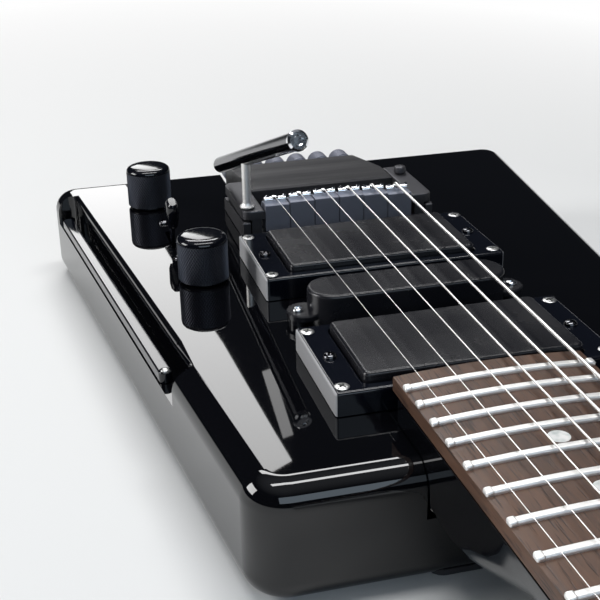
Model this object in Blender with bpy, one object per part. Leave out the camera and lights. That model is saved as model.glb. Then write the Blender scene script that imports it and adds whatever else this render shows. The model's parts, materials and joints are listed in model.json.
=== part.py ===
"""Headless electric guitar with a tremolo bridge that holds the tuners.

Metres, +Z out of the face, +Y towards the tail, +X towards the bass side.
The origin is on the flat back, under the point where the scale length ends.
"""
import math

import bmesh
import bpy
from mathutils import Matrix, Vector

for old_object in list(bpy.data.objects):
    bpy.data.objects.remove(old_object, do_unlink=True)

# Clearances
GAP = 0.0003
RUNNING = 0.0005
OVERSHOOT = 0.01

# Body
BODY_THICKNESS = 0.038
BODY_FRONT = -0.182
BODY_TAIL = 0.092
BODY_FRONT_HALF = 0.0765
BODY_TAIL_HALF = 0.1091
BODY_CORNER = 0.011
BODY_ROUND_OVER = 0.008
TOP_WOOD = 0.006
FACE = BODY_THICKNESS

# Neck, fretboard and strings
SCALE = 0.6477
FRET_COUNT = 24
NUT_HALF = 0.02065
HEEL_HALF = 0.0288
HEEL_FRET_Y = -SCALE * 2 ** (-FRET_COUNT / 12)
FRETBOARD_END = -0.157
FRETBOARD_THICKNESS = 0.006
FRETBOARD_RISE = 0.0140
FRETBOARD_RADIUS = 0.356
FRET_WIDTH = 0.0025
FRET_HEIGHT = 0.0012
FRET_SEAT = 0.0003
NECK_DEPTH_NUT = 0.0135
NECK_DEPTH_MIDDLE = 0.0160
NECK_DEPTH_HEEL = 0.0240
HEEL_START = -0.196
NECK_CURVE_START = -0.245
TENON_END = -0.1478
STRING_RADII = (0.000127, 0.000165, 0.000216, 0.00033, 0.00046, 0.00058)
STRING_SPREAD_NUT = 0.0351
STRING_SPREAD_BRIDGE = 0.051
STRING_OVER_FRETS = 0.0005
STRING_RISE_BRIDGE = 0.0168
BALL_RADIUS = 0.0018
BALL_LENGTH = 0.0032
NUT_LENGTH = 0.004
HEADPIECE_LENGTH = 0.0235
HEADPIECE_OVER_BOARD = 0.0034
BOARD_TOP = FACE + FRETBOARD_RISE
BOARD_BOTTOM = BOARD_TOP - FRETBOARD_THICKNESS
HEADPIECE_FRONT = -SCALE - NUT_LENGTH - GAP
HEADPIECE_END = HEADPIECE_FRONT - HEADPIECE_LENGTH
NECK_END = HEADPIECE_END
BALL_Y = HEADPIECE_END + 0.0075
BALL_Z = BOARD_TOP - 0.0006
TRUSS_HALF = 0.003
TRUSS_DEPTH = 0.009
TRUSS_FRONT = -0.630
TRUSS_REAR = -0.205
NECK_SCREW_RADIUS = 0.0021
NECK_SCREW_X = 0.0185
NECK_SCREW_INSET = 0.0085
NECK_SCREW_BITE = 0.0125
NECK_PLATE_AT = (0, (BODY_FRONT + TENON_END) / 2)
NECK_PLATE_SIZE = (0.051, 0.030)
NECK_PLATE_THICKNESS = 0.002

# Pickups
RING_LENGTH = 0.0892
RING_WIDTH = 0.0465
RING_BEVEL = 0.0011
RING_SCREW_X = 0.0416
RING_SCREW_Y = 0.0192
HEIGHT_SCREW_X = 0.0396
SMALL_SHANK = 0.0011
BRIDGE_PICKUP_Y = -0.0406
NECK_PICKUP_Y = -0.1264
MIDDLE_PICKUP_Y = (BRIDGE_PICKUP_Y + NECK_PICKUP_Y) / 2
BRIDGE_RING_HEIGHT = 0.0085
NECK_RING_HEIGHT = 0.0078
COVER_LENGTH = 0.0694
COVER_WIDTH = 0.0380
BRIDGE_COVER_RISE = 0.0125
NECK_COVER_RISE = 0.0115
PILL_LENGTH = 0.0700
PILL_WIDTH = 0.0182
PILL_RISE = 0.0095
EAR_RADIUS = 0.0062
EAR_TIP = 0.0424
EAR_SCREW_X = 0.0385
EAR_THICKNESS = 0.002
PICKUP_DEPTH = 0.008
PICKUP_CAVITY_DEPTH = 0.024
MIDDLE_CAVITY_DEPTH = 0.020
PICKUP_ROOM = 0.0015

# Tremolo bridge
PIVOT_Y = 0.0015
PIVOT_RISE = 0.0045
PIVOT_RADIUS = 0.002
WING_TOP = 0.0120
WING_THICKNESS = 0.0035
WING_FRONT = -0.003
WING_REAR = 0.036
WING_REACH = 0.00875
WING_CORNER = 0.0035
CHEEK_THICKNESS = 0.003
CHEEK_RISE = 0.0076
CHEEK_RISE_REAR = 0.0060
FOOT_FRONT = 0.0145
FOOT_THICKNESS = 0.0022
FOOT_SCREW_Y = (0.019, 0.031)
LUG_THICKNESS = 0.004
BED_BOTTOM = 0.0006
BED_TOP = 0.0027
BED_REAR = 0.007
SADDLE_WIDTH = 0.0100
SADDLE_REAR = 0.0085
SADDLE_REAR_RISE = 0.0068
SADDLE_SCREW_RADIUS = 0.0006
SADDLE_SCREW_OFFSETS = (-0.0030, 0.0040)
CREST_Y = 0.002
CREST_HEIGHT = 0.0020
BLOCK_INSET = 0.00025
BLOCK_FRONT = 0.022
BLOCK_REAR = 0.078
BLOCK_TOP = 0.0125
BLOCK_TOP_REAR = 0.0060
BLOCK_SLOPE_START = 0.037
BLOCK_BOTTOM = -0.005
BLOCK_BEVEL = 0.0012
TUNER_SPACING = 0.0104
TUNER_RISE = 0.0013
TUNER_RADIUS = 0.00475
TUNER_LENGTH = 0.0115
TUNER_SHAFT_RADIUS = 0.0015
THREAD_OVERLAP = 0.004
THREAD_DEPTH = 0.007
JAW_RADIUS = 0.0033
JAW_LENGTH = 0.015
JAW_FRONT = 0.0265
JAW_BALL_Y = JAW_FRONT + 0.0035
ROUT_ROOM = 0.00105
ROUT_FRONT = 0.0085
ROUT_FLOOR = 0.012
SPRING_RISE = -0.0148
SPRING_COIL_RADIUS = 0.0044
SPRING_WIRE_RADIUS = 0.0008
SPRING_TURNS = 8
SPRING_ARM_FRONT = 0.029
SPRING_ARM_REAR = 0.036
SPRING_ARM_HALF = 0.009
SPRING_ARM_DROP = 0.006
BRACKET_FRONT = 0.0715
BRACKET_THICKNESS = 0.004
BRACKET_HALF = 0.008
BRACKET_RISE = 0.0052
SPRING_SCREW_RADIUS = 0.0020
SPRING_SCREW_LENGTH = 0.010
WHEEL_RADIUS = 0.0050
WHEEL_LENGTH = 0.0076
ROW_HALF = max(2.5 * TUNER_SPACING + TUNER_RADIUS, (STRING_SPREAD_BRIDGE + SADDLE_WIDTH) / 2)
BLOCK_HALF = ROW_HALF - BLOCK_INSET
ROUT_HALF = ROW_HALF + ROUT_ROOM
WING_HALF = ROW_HALF + WING_REACH

# Tremolo arm
ARM_POST = Vector((0.0028 - WING_HALF, 0.002, FACE + WING_TOP))
ARM_REAR = ARM_POST + Vector((-0.0030, 0.0355, 0.0077))
ARM_TIP = ARM_POST + Vector((0.0067, -0.0580, 0.0430))
ARM_RADIUS = 0.0034
ARM_CAP_RADIUS = 0.0038
POST_RADIUS = 0.0016
COLLAR_RADIUS = 0.0028
LOCK_AT = Vector((WING_HALF - 0.0040, 0.026, FACE + WING_TOP))
LOCK_RADIUS = 0.0015

# Controls
VOLUME_AT = Vector((-0.062, -0.037, FACE))
TONE_AT = Vector((-0.069, 0.052, FACE))
KNOB_RADIUS = 0.00925
KNOB_HEIGHT = 0.0182
KNOB_ROOF = 0.0045
KNOB_RECESS_RADIUS = 0.0066
KNOB_RECESS_DEPTH = 0.0050
SHAFT_RADIUS = 0.003
BUSHING_RADIUS = 0.0036
POT_RADIUS = 0.0082
POT_DEPTH = 0.0085
POT_NUT_RADIUS = 0.0055
POT_NUT_TOP = 0.0025
BUSHING_TOP = 0.0040
SWITCH_X = -0.067
SWITCH_Y = 0.0075
SWITCH_PIVOT_DEPTH = 0.010
SWITCH_LEAN = math.radians(16.3)
SWITCH_SLOT_LENGTH = 0.020
SWITCH_SLOT_WIDTH = 0.0022
SWITCH_SCREW_SPACING = 0.0413
SWITCH_AXLE_RADIUS = 0.0009
SWITCH_FRAME_WIDTH = 0.014
SWITCH_FRAME_THICKNESS = 0.0015
SWITCH_CHEEK_X = 0.0045
SWITCH_CHEEK_HALF = 0.009
SWITCH_CHEEK_DEPTH = 0.0125
SWITCH_CHEEK_THICKNESS = 0.0020
SWITCH_TIP_LOW = 0.0095
SWITCH_TIP_HIGH = 0.0200
BLADE_THICKNESS = 0.0012
BLADE_WIDTH = 0.0050
CAVITY_LEFT = -0.0790
CAVITY_RIGHT = -0.0475
CAVITY_FRONT = -0.0500
CAVITY_REAR = 0.0740
COVER_PLATE = 0.002
COVER_MARGIN = 0.005
COVER_CORNER = 0.008

# Leg rest in the treble side
NOTCH_DEPTH = 0.0127
NOTCH_INSET = 0.0077
NOTCH_FRONT = -0.106
NOTCH_REAR = 0.076
REST_WIDTH = 0.0047
REST_THICKNESS = 0.0037
REST_PIVOT_Y = -0.088
REST_END_Y = 0.070
REST_GAP = 0.0026
REST_SCREW_RADIUS = 0.0010
REST_HEAD_RADIUS = 0.0016
REST_HEAD_SEAT = 0.0008
PILOT_DEPTH = 0.010

# Output jack and strap buttons
JACK_X = -0.066
JACK_Z = 0.019
JACK_BORE = 0.0033
JACK_BARREL = 0.0047
JACK_FLANGE = 0.0068
JACK_PLATE_THICKNESS = 0.0018
JACK_PLATE_HALF = (0.015, 0.010)
STRAP_TAIL_X = 0.060
STRAP_FRONT_X = 0.050
STRAP_Z = 0.019
STRAP_RADIUS = 0.007
STRAP_WAIST = 0.0035
STRAP_HEIGHT = 0.010
STRAP_SCREW_RADIUS = 0.0018
STRAP_SCREW_LENGTH = 0.015

FINISHES = {
    "gloss_black": ((0.006, 0.006, 0.008), 0.08, 0.0),
    "satin_black": ((0.030, 0.030, 0.033), 0.38, 0.0),
    "black_plastic": ((0.012, 0.012, 0.013), 0.22, 0.0),
    "black_metal": ((0.050, 0.050, 0.054), 0.34, 0.7),
    "chrome": ((0.80, 0.80, 0.82), 0.08, 1.0),
    "nickel": ((0.72, 0.70, 0.66), 0.2, 1.0),
    "steel": ((0.55, 0.55, 0.55), 0.3, 1.0),
    "rosewood": ((0.16, 0.07, 0.04), 0.55, 0.0),
}


def finish(name):
    """Return the named material, made the first time it is asked for."""
    if name in bpy.data.materials:
        return bpy.data.materials[name]
    colour, roughness, metallic = FINISHES[name]
    material = bpy.data.materials.new(name)
    material.use_nodes = True
    shader = material.node_tree.nodes["Principled BSDF"]
    shader.inputs["Base Color"].default_value = (*colour, 1.0)
    shader.inputs["Roughness"].default_value = roughness
    shader.inputs["Metallic"].default_value = metallic
    return material


def add_node(name, bm, finish_name, pivot=(0, 0, 0), smooth=None):
    """Make a node from a bmesh, with its origin at pivot."""
    bmesh.ops.translate(bm, verts=bm.verts, vec=-Vector(pivot))
    bmesh.ops.recalc_face_normals(bm, faces=bm.faces)
    mesh = bpy.data.meshes.new(name)
    bm.to_mesh(mesh)
    bm.free()
    if smooth is not None:
        mesh.shade_smooth()
        mesh.set_sharp_from_angle(angle=math.radians(smooth))
    mesh.materials.append(finish(finish_name))
    node = bpy.data.objects.new(name, mesh)
    node.location = pivot
    bpy.context.collection.objects.link(node)
    return node


def cut(target, bm, label):
    """Take the bmesh's shape out of the target with a Boolean modifier."""
    cutter = add_node(target.name + "_cut_" + label, bm, "satin_black")
    cutter.hide_render = True
    cutter.display_type = "WIRE"
    modifier = target.modifiers.new(label, "BOOLEAN")
    modifier.operation = "DIFFERENCE"
    modifier.solver = "EXACT"
    modifier.object = cutter


def unite(target, bm, label):
    """Fuse the bmesh's shape with the target, which it overlaps a little."""
    part = add_node(target.name + "_with_" + label, bm, "satin_black")
    part.hide_render = True
    part.display_type = "WIRE"
    modifier = target.modifiers.new(label, "BOOLEAN")
    modifier.operation = "UNION"
    modifier.solver = "EXACT"
    modifier.object = part


def join(bm, other):
    """Move every solid of other into bm."""
    mesh = bpy.data.meshes.new("joined")
    other.to_mesh(mesh)
    other.free()
    bm.from_mesh(mesh)
    bpy.data.meshes.remove(mesh)
    return bm


def gather(shapes):
    """One bmesh that holds all the given shapes, none of them touching."""
    bm = bmesh.new()
    for shape in shapes:
        join(bm, shape)
    return bm


def moved(bm, offset=(0, 0, 0), turn=0.0, axis="Z"):
    """Turn a bmesh about an axis through the origin, then shift it."""
    matrix = Matrix.Translation(offset) @ Matrix.Rotation(turn, 4, axis)
    bmesh.ops.transform(bm, verts=bm.verts, matrix=matrix)
    return bm


def prism(outline, low, high):
    """Extrude a flat outline of (x, y) points from z = low to z = high."""
    bm = bmesh.new()
    face = bm.faces.new([bm.verts.new((x, y, low)) for x, y in outline])
    grown = bmesh.ops.extrude_face_region(bm, geom=[face])
    top = [item for item in grown["geom"] if isinstance(item, bmesh.types.BMVert)]
    bmesh.ops.translate(bm, verts=top, vec=(0, 0, high - low))
    bmesh.ops.recalc_face_normals(bm, faces=bm.faces)
    return bm


def prism_x(outline, low, high):
    """Extrude an outline of (y, z) points from x = low to x = high."""
    bm = prism(outline, low, high)
    swap = Matrix(((0, 0, 1, 0), (1, 0, 0, 0), (0, 1, 0, 0), (0, 0, 0, 1)))
    bmesh.ops.transform(bm, verts=bm.verts, matrix=swap)
    return bm


def prism_y(outline, low, high):
    """Extrude an outline of (x, z) points from y = low to y = high."""
    bm = prism(outline, low, high)
    swap = Matrix(((1, 0, 0, 0), (0, 0, 1, 0), (0, 1, 0, 0), (0, 0, 0, 1)))
    bmesh.ops.transform(bm, verts=bm.verts, matrix=swap)
    bmesh.ops.recalc_face_normals(bm, faces=bm.faces)
    return bm


def box(low, high):
    """A block between two corners."""
    outline = [(low[0], low[1]), (high[0], low[1]), (high[0], high[1]), (low[0], high[1])]
    return prism(outline, low[2], high[2])


def rounded(length, width, radius, centre=(0, 0), steps=4):
    """Outline of a rectangle with round corners."""
    points = []
    for corner, (side_x, side_y) in enumerate(((1, 1), (-1, 1), (-1, -1), (1, -1))):
        middle_x = centre[0] + side_x * (length / 2 - radius)
        middle_y = centre[1] + side_y * (width / 2 - radius)
        for step in range(steps + 1):
            angle = math.radians(90 * (corner + step / steps))
            points.append((middle_x + radius * math.cos(angle), middle_y + radius * math.sin(angle)))
    return points


def turned(profile, segments=24):
    """Spin a profile of (radius, height) points, from axis to axis, about Z."""
    bm = bmesh.new()
    line = [bm.verts.new((radius, 0, height)) for radius, height in profile]
    edges = [bm.edges.new(pair) for pair in zip(line, line[1:])]
    bmesh.ops.spin(bm, geom=line + edges, axis=(0, 0, 1), cent=(0, 0, 0), angle=math.tau, steps=segments,
                   use_merge=True, use_duplicate=False)
    bmesh.ops.remove_doubles(bm, verts=bm.verts, dist=0.000001)
    bmesh.ops.recalc_face_normals(bm, faces=bm.faces)
    return bm


def rod(radius, low, high, segments=16):
    """A plain round rod along Z."""
    return turned([(0, low), (radius, low), (radius, high), (0, high)], segments)


def along(bm, start, end):
    """Lay a shape made along +Z from the origin on the line from start to end."""
    direction = (Vector(end) - Vector(start)).normalized()
    turn = Vector((0, 0, 1)).rotation_difference(direction).to_matrix().to_4x4()
    bmesh.ops.transform(bm, verts=bm.verts, matrix=Matrix.Translation(start) @ turn)
    return bm


def loft(rings):
    """Skin a row of rings of equal point count, and close both ends."""
    bm = bmesh.new()
    loops = [[bm.verts.new(point) for point in ring] for ring in rings]
    count = len(loops[0])
    for near, far in zip(loops, loops[1:]):
        for index in range(count):
            after = (index + 1) % count
            bm.faces.new((near[index], near[after], far[after], far[index]))
    bm.faces.new(loops[0])
    bm.faces.new(loops[-1])
    bmesh.ops.recalc_face_normals(bm, faces=bm.faces)
    return bm


def tube(points, radii, sides):
    """A closed round tube through the points, with a radius at each one."""
    points = [Vector(point) for point in points]
    rings = []
    side = Vector((1, 0, 0))
    for index, point in enumerate(points):
        before = points[max(index - 1, 0)]
        after = points[min(index + 1, len(points) - 1)]
        forward = (after - before).normalized()
        side = (side - forward * side.dot(forward)).normalized()
        other = forward.cross(side)
        ring = []
        for step in range(sides):
            angle = math.tau * (step + 0.5) / sides
            ring.append(point + (side * math.cos(angle) + other * math.sin(angle)) * radii[index])
        rings.append(ring)
    return loft(rings)


def holed_plate(outline, radius, low, high):
    """A plate with a round hole at the origin: each outline point has one on the hole."""
    rings = []
    for scale_in, height in ((False, low), (False, high), (True, high), (True, low)):
        ring = []
        for x, y in outline:
            reach = radius / math.hypot(x, y) if scale_in else 1
            ring.append((x * reach, y * reach, height))
        rings.append(ring)
    bm = bmesh.new()
    loops = [[bm.verts.new(point) for point in ring] for ring in rings]
    for near, far in zip(loops, loops[1:] + loops[:1]):
        for index in range(len(outline)):
            after = (index + 1) % len(outline)
            bm.faces.new((near[index], near[after], far[after], far[index]))
    bmesh.ops.recalc_face_normals(bm, faces=bm.faces)
    return bm


def soften(bm, width, segments, keep):
    """Bevel the edges for which keep(edge) is true."""
    edges = [edge for edge in bm.edges if keep(edge)]
    bmesh.ops.bevel(bm, geom=edges, offset=width, offset_type="OFFSET", affect="EDGES", segments=segments,
                    profile=0.5, material=-1, clamp_overlap=True)
    return bm


def edge_at(height):
    """Pick edges whose two ends lie at one height."""
    return lambda edge: all(abs(vert.co.z - height) < 0.000001 for vert in edge.verts)


def screw(head_radius, head_height, shank_radius, shank_length, segments=12):
    """A round-headed screw along Z, with the underside of its head at z = 0."""
    profile = [(0, -shank_length), (shank_radius, -shank_length), (shank_radius, 0), (head_radius, 0),
               (head_radius, head_height * 0.45), (head_radius * 0.72, head_height * 0.85), (0, head_height)]
    return turned(profile, segments)


def outline_half(y):
    """Half of the body's width at y."""
    share = (y - BODY_FRONT) / (BODY_TAIL - BODY_FRONT)
    return BODY_FRONT_HALF + (BODY_TAIL_HALF - BODY_FRONT_HALF) * share


def board_half(y):
    """Half of the fretboard's width at y."""
    share = (y + SCALE) / (HEEL_FRET_Y + SCALE)
    return NUT_HALF + (HEEL_HALF - NUT_HALF) * share


def crown(x):
    """How far the fretboard's crown, and the row of strings over it, falls at x."""
    return x * x / (2 * FRETBOARD_RADIUS)


def board_height(x):
    """Height of the fretboard's crowned surface at x."""
    return BOARD_TOP - crown(x)


def fret_y(number):
    """Where a fret crosses the board, measured from the end of the scale."""
    return -SCALE * 2 ** (-number / 12)


def string_x(index, spread):
    """Sideways place of a string: 0 is the treble one, at -X."""
    return -spread / 2 + spread * index / 5


def nut_height(index):
    """Height of a string's middle in its notch of the nut."""
    x = string_x(index, STRING_SPREAD_NUT)
    return board_height(x) + FRET_HEIGHT + STRING_OVER_FRETS + STRING_RADII[index]


def bridge_height(index):
    """Height of a string's middle over its saddle."""
    return FACE + STRING_RISE_BRIDGE - crown(string_x(index, STRING_SPREAD_BRIDGE))


def tuner_x(index):
    """Sideways place of a tuner and its jaw."""
    return (index - 2.5) * TUNER_SPACING


SIDE_SLOPE = (BODY_TAIL_HALF - BODY_FRONT_HALF) / (BODY_TAIL - BODY_FRONT)
SIDE_ANGLE = math.atan(SIDE_SLOPE)
NOTCH_FLOOR = FACE - NOTCH_DEPTH
CAVITY_TOP = FACE - TOP_WOOD
POCKET_FLOOR = BOARD_BOTTOM - NECK_DEPTH_HEEL - GAP
PIVOT = Vector((0, PIVOT_Y, FACE + PIVOT_RISE))
TUNER_Z = FACE + TUNER_RISE
SPRING_Z = FACE + SPRING_RISE
WING_BOTTOM = WING_TOP - WING_THICKNESS
CHEEK_INNER = WING_HALF - CHEEK_THICKNESS
LUG_OUTER = CHEEK_INNER - RUNNING
LUG_INNER = LUG_OUTER - LUG_THICKNESS
SWITCH_PIVOT = Vector((SWITCH_X, SWITCH_Y, FACE - SWITCH_PIVOT_DEPTH))
REST_PIVOT_X = -(outline_half(REST_PIVOT_Y) - NOTCH_INSET + REST_GAP + REST_WIDTH / 2)
REST_BOTTOM = NOTCH_FLOOR + GAP
REST_PIVOT = Vector((REST_PIVOT_X, REST_PIVOT_Y, REST_BOTTOM))


def corner_arc(centre, radius, start, end, steps=5):
    """Points of an arc between two angles in degrees."""
    points = []
    for step in range(steps + 1):
        angle = math.radians(start + (end - start) * step / steps)
        points.append((centre[0] + radius * math.cos(angle), centre[1] + radius * math.sin(angle)))
    return points


def body_outline():
    """Paddle outline: wider at the tail, with four rounded corners."""
    lean = math.degrees(SIDE_ANGLE)
    reach_front = BODY_CORNER * (1 / math.cos(SIDE_ANGLE) + math.tan(SIDE_ANGLE))
    reach_tail = BODY_CORNER * (1 / math.cos(SIDE_ANGLE) - math.tan(SIDE_ANGLE))
    front_x = outline_half(BODY_FRONT) - reach_front + 2 * BODY_CORNER * math.tan(SIDE_ANGLE)
    tail_x = outline_half(BODY_TAIL) - reach_tail - 2 * BODY_CORNER * math.tan(SIDE_ANGLE)
    front_y = BODY_FRONT + BODY_CORNER
    tail_y = BODY_TAIL - BODY_CORNER
    right = corner_arc((front_x, front_y), BODY_CORNER, -90, -lean)
    right += corner_arc((tail_x, tail_y), BODY_CORNER, -lean, 90)
    left = [(-x, y) for x, y in reversed(right)]
    return right + left


def pickup_cavity(y, floor):
    """Cavity for a humbucker."""
    length = COVER_LENGTH + 2 * PICKUP_ROOM
    width = COVER_WIDTH + 2 * PICKUP_ROOM
    return prism(rounded(length, width, 0.003, (0, y), 2), floor, FACE + OVERSHOOT)


def pickup_ears(y):
    """Shallow pockets beside a humbucker cavity, under the ring's height screws."""
    low = FACE - PICKUP_DEPTH - 0.006
    return prism(rounded(2 * RING_SCREW_X + 0.001, 0.016, 0.003, (0, y), 2), low, FACE + OVERSHOOT)


def ring_screw_places():
    """Centres of the eight ring screws."""
    places = []
    for centre in (BRIDGE_PICKUP_Y, NECK_PICKUP_Y):
        for side_x in (-1, 1):
            for side_y in (-1, 1):
                places.append((side_x * RING_SCREW_X, centre + side_y * RING_SCREW_Y))
    return places


def frame_screw_places():
    """Centres of the screws that hold the pivot brackets."""
    across = (ROUT_HALF + CHEEK_INNER) / 2 + GAP / 2
    return [(side * across, y) for side in (-1, 1) for y in FOOT_SCREW_Y]


def cover_screw_places():
    """Centres of the six screws of the control cover."""
    left = CAVITY_LEFT - COVER_MARGIN / 2
    right = CAVITY_RIGHT + COVER_MARGIN / 2
    rows = (CAVITY_FRONT + 0.002, (CAVITY_FRONT + CAVITY_REAR) / 2, CAVITY_REAR - 0.002)
    return [(x, y) for x in (left, right) for y in rows]


def neck_screw_places():
    """Centres of the four neck screws."""
    rows = (BODY_FRONT + NECK_SCREW_INSET, TENON_END - NECK_SCREW_INSET)
    return [(side * NECK_SCREW_X, y) for side in (-1, 1) for y in rows]


def make_body():
    """The paddle-shaped wooden body with all its pockets and bores."""
    bm = prism(body_outline(), 0, BODY_THICKNESS)
    soften(bm, BODY_ROUND_OVER, 4, edge_at(BODY_THICKNESS))
    soften(bm, BODY_ROUND_OVER, 4, edge_at(0))
    body = add_node("body", bm, "gloss_black", smooth=30)

    front = BODY_FRONT - OVERSHOOT
    pocket = [(-board_half(front) - GAP, front), (board_half(front) + GAP, front),
              (board_half(TENON_END) + GAP, TENON_END + GAP), (-board_half(TENON_END) - GAP, TENON_END + GAP)]
    cut(body, prism(pocket, POCKET_FLOOR, FACE + OVERSHOOT), "neck_pocket")

    floor = FACE - PICKUP_CAVITY_DEPTH
    cut(body, gather([pickup_cavity(y, floor) for y in (BRIDGE_PICKUP_Y, NECK_PICKUP_Y)]), "pickups")
    cut(body, gather([pickup_ears(y) for y in (BRIDGE_PICKUP_Y, NECK_PICKUP_Y)]), "pickup_ears")
    pill = rounded(PILL_LENGTH + 0.001, PILL_WIDTH + 0.001, PILL_WIDTH / 2, (0, MIDDLE_PICKUP_Y))
    cut(body, prism(pill, FACE - MIDDLE_CAVITY_DEPTH, FACE + OVERSHOOT), "middle_pickup")

    tail = BODY_TAIL + OVERSHOOT
    rout = [(-ROUT_HALF, ROUT_FRONT), (ROUT_HALF, ROUT_FRONT), (ROUT_HALF, tail), (-ROUT_HALF, tail)]
    cut(body, prism(rout, ROUT_FLOOR, FACE + OVERSHOOT), "tremolo_rout")

    centre = ((CAVITY_LEFT + CAVITY_RIGHT) / 2, (CAVITY_FRONT + CAVITY_REAR) / 2)
    size = (CAVITY_RIGHT - CAVITY_LEFT, CAVITY_REAR - CAVITY_FRONT)
    cut(body, prism(rounded(*size, 0.006, centre, 3), -OVERSHOOT, CAVITY_TOP), "controls")
    lid = (size[0] + 2 * COVER_MARGIN, size[1] + 2 * COVER_MARGIN)
    recess = prism(rounded(*lid, COVER_CORNER, centre, 3), -OVERSHOOT, COVER_PLATE + 2 * GAP)
    cut(body, recess, "cover_recess")
    plate = (NECK_PLATE_SIZE[0] + 2 * GAP, NECK_PLATE_SIZE[1] + 2 * GAP)
    plate_recess = prism(rounded(*plate, 0.004, NECK_PLATE_AT, 3), -OVERSHOOT, NECK_PLATE_THICKNESS + 2 * GAP)
    cut(body, plate_recess, "neck_plate")

    cut(body, leg_rest_notch(), "leg_rest")
    cut(body, body_bores(), "bores")
    return body


def leg_rest_notch():
    """Long step in the treble side, from the flat of the face outwards."""
    radius = NOTCH_INSET + 0.002
    inner_front = -(outline_half(NOTCH_FRONT) - NOTCH_INSET)
    inner_rear = -(outline_half(NOTCH_REAR) - NOTCH_INSET)
    outside = -BODY_TAIL_HALF - OVERSHOOT
    shape = corner_arc((inner_front - radius, NOTCH_FRONT + radius), radius, -90, 0, 4)
    shape += corner_arc((inner_rear - radius, NOTCH_REAR - radius), radius, 0, 90, 4)
    shape += [(outside, NOTCH_REAR), (outside, NOTCH_FRONT)]
    return prism(shape, NOTCH_FLOOR, FACE + OVERSHOOT)


def body_bores():
    """Every round hole, and the slot of the switch, as one set of cutters."""
    high = FACE + OVERSHOOT
    low = CAVITY_TOP - OVERSHOOT
    shapes = []
    for place in (VOLUME_AT, TONE_AT):
        shapes.append(moved(rod(BUSHING_RADIUS + GAP, low, high, 12), (place.x, place.y, 0)))
    slot = rounded(SWITCH_SLOT_WIDTH, SWITCH_SLOT_LENGTH, SWITCH_SLOT_WIDTH / 2.01, (SWITCH_X, SWITCH_Y), 2)
    shapes.append(prism(slot, low, high))
    for side in (-1, 1):
        at = (SWITCH_X, SWITCH_Y + side * SWITCH_SCREW_SPACING / 2, 0)
        shapes.append(moved(rod(SMALL_SHANK + GAP, low, high, 8), at))
    for x, y in neck_screw_places():
        neck_hole = rod(NECK_SCREW_RADIUS + 2 * GAP, -OVERSHOOT, POCKET_FLOOR + OVERSHOOT, 8)
        shapes.append(moved(neck_hole, (x, y, 0)))
    jack_hole = rod(JACK_BARREL + GAP, 0, BODY_TAIL - CAVITY_REAR + 2 * OVERSHOOT, 16)
    shapes.append(along(jack_hole, (JACK_X, CAVITY_REAR - 0.004, JACK_Z), (JACK_X, BODY_TAIL, JACK_Z)))
    for x, face in ((STRAP_TAIL_X, BODY_TAIL), (STRAP_FRONT_X, BODY_FRONT)):
        strap_hole = rod(STRAP_SCREW_RADIUS + GAP, -OVERSHOOT, STRAP_SCREW_LENGTH + 0.001, 10)
        shapes.append(along(strap_hole, (x, face, STRAP_Z), (x, 0, STRAP_Z)))
    rest_hole = rod(REST_SCREW_RADIUS + GAP, NOTCH_FLOOR - PILOT_DEPTH, NOTCH_FLOOR + 0.001, 8)
    shapes.append(moved(rest_hole, (REST_PIVOT.x, REST_PIVOT.y, 0)))
    return gather(shapes)


def neck_depth(y):
    """Depth of the neck's wood below the fretboard at y."""
    if y >= HEEL_START:
        return NECK_DEPTH_HEEL
    if y > NECK_CURVE_START:
        share = (y - NECK_CURVE_START) / (HEEL_START - NECK_CURVE_START)
        smooth = share * share * (3 - 2 * share)
        return NECK_DEPTH_MIDDLE + (NECK_DEPTH_HEEL - NECK_DEPTH_MIDDLE) * smooth
    share = (y + SCALE) / (NECK_CURVE_START + SCALE)
    return NECK_DEPTH_NUT + (NECK_DEPTH_MIDDLE - NECK_DEPTH_NUT) * share


def neck_ring(y, points=14):
    """Section of the neck: a flat top and a back that squares up at the heel."""
    share = min(max((y - NECK_CURVE_START) / (HEEL_START - NECK_CURVE_START), 0), 1)
    power = 2 / (2.3 + 9 * share * share)
    half = board_half(y)
    depth = neck_depth(y)
    ring = []
    for step in range(points + 1):
        angle = math.pi * step / points
        x = half * math.copysign(abs(math.cos(angle)) ** power, math.cos(angle))
        ring.append((x, y, BOARD_BOTTOM - depth * math.sin(angle) ** power))
    ring[0] = (half, y, BOARD_BOTTOM)
    ring[-1] = (-half, y, BOARD_BOTTOM)
    return ring


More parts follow.
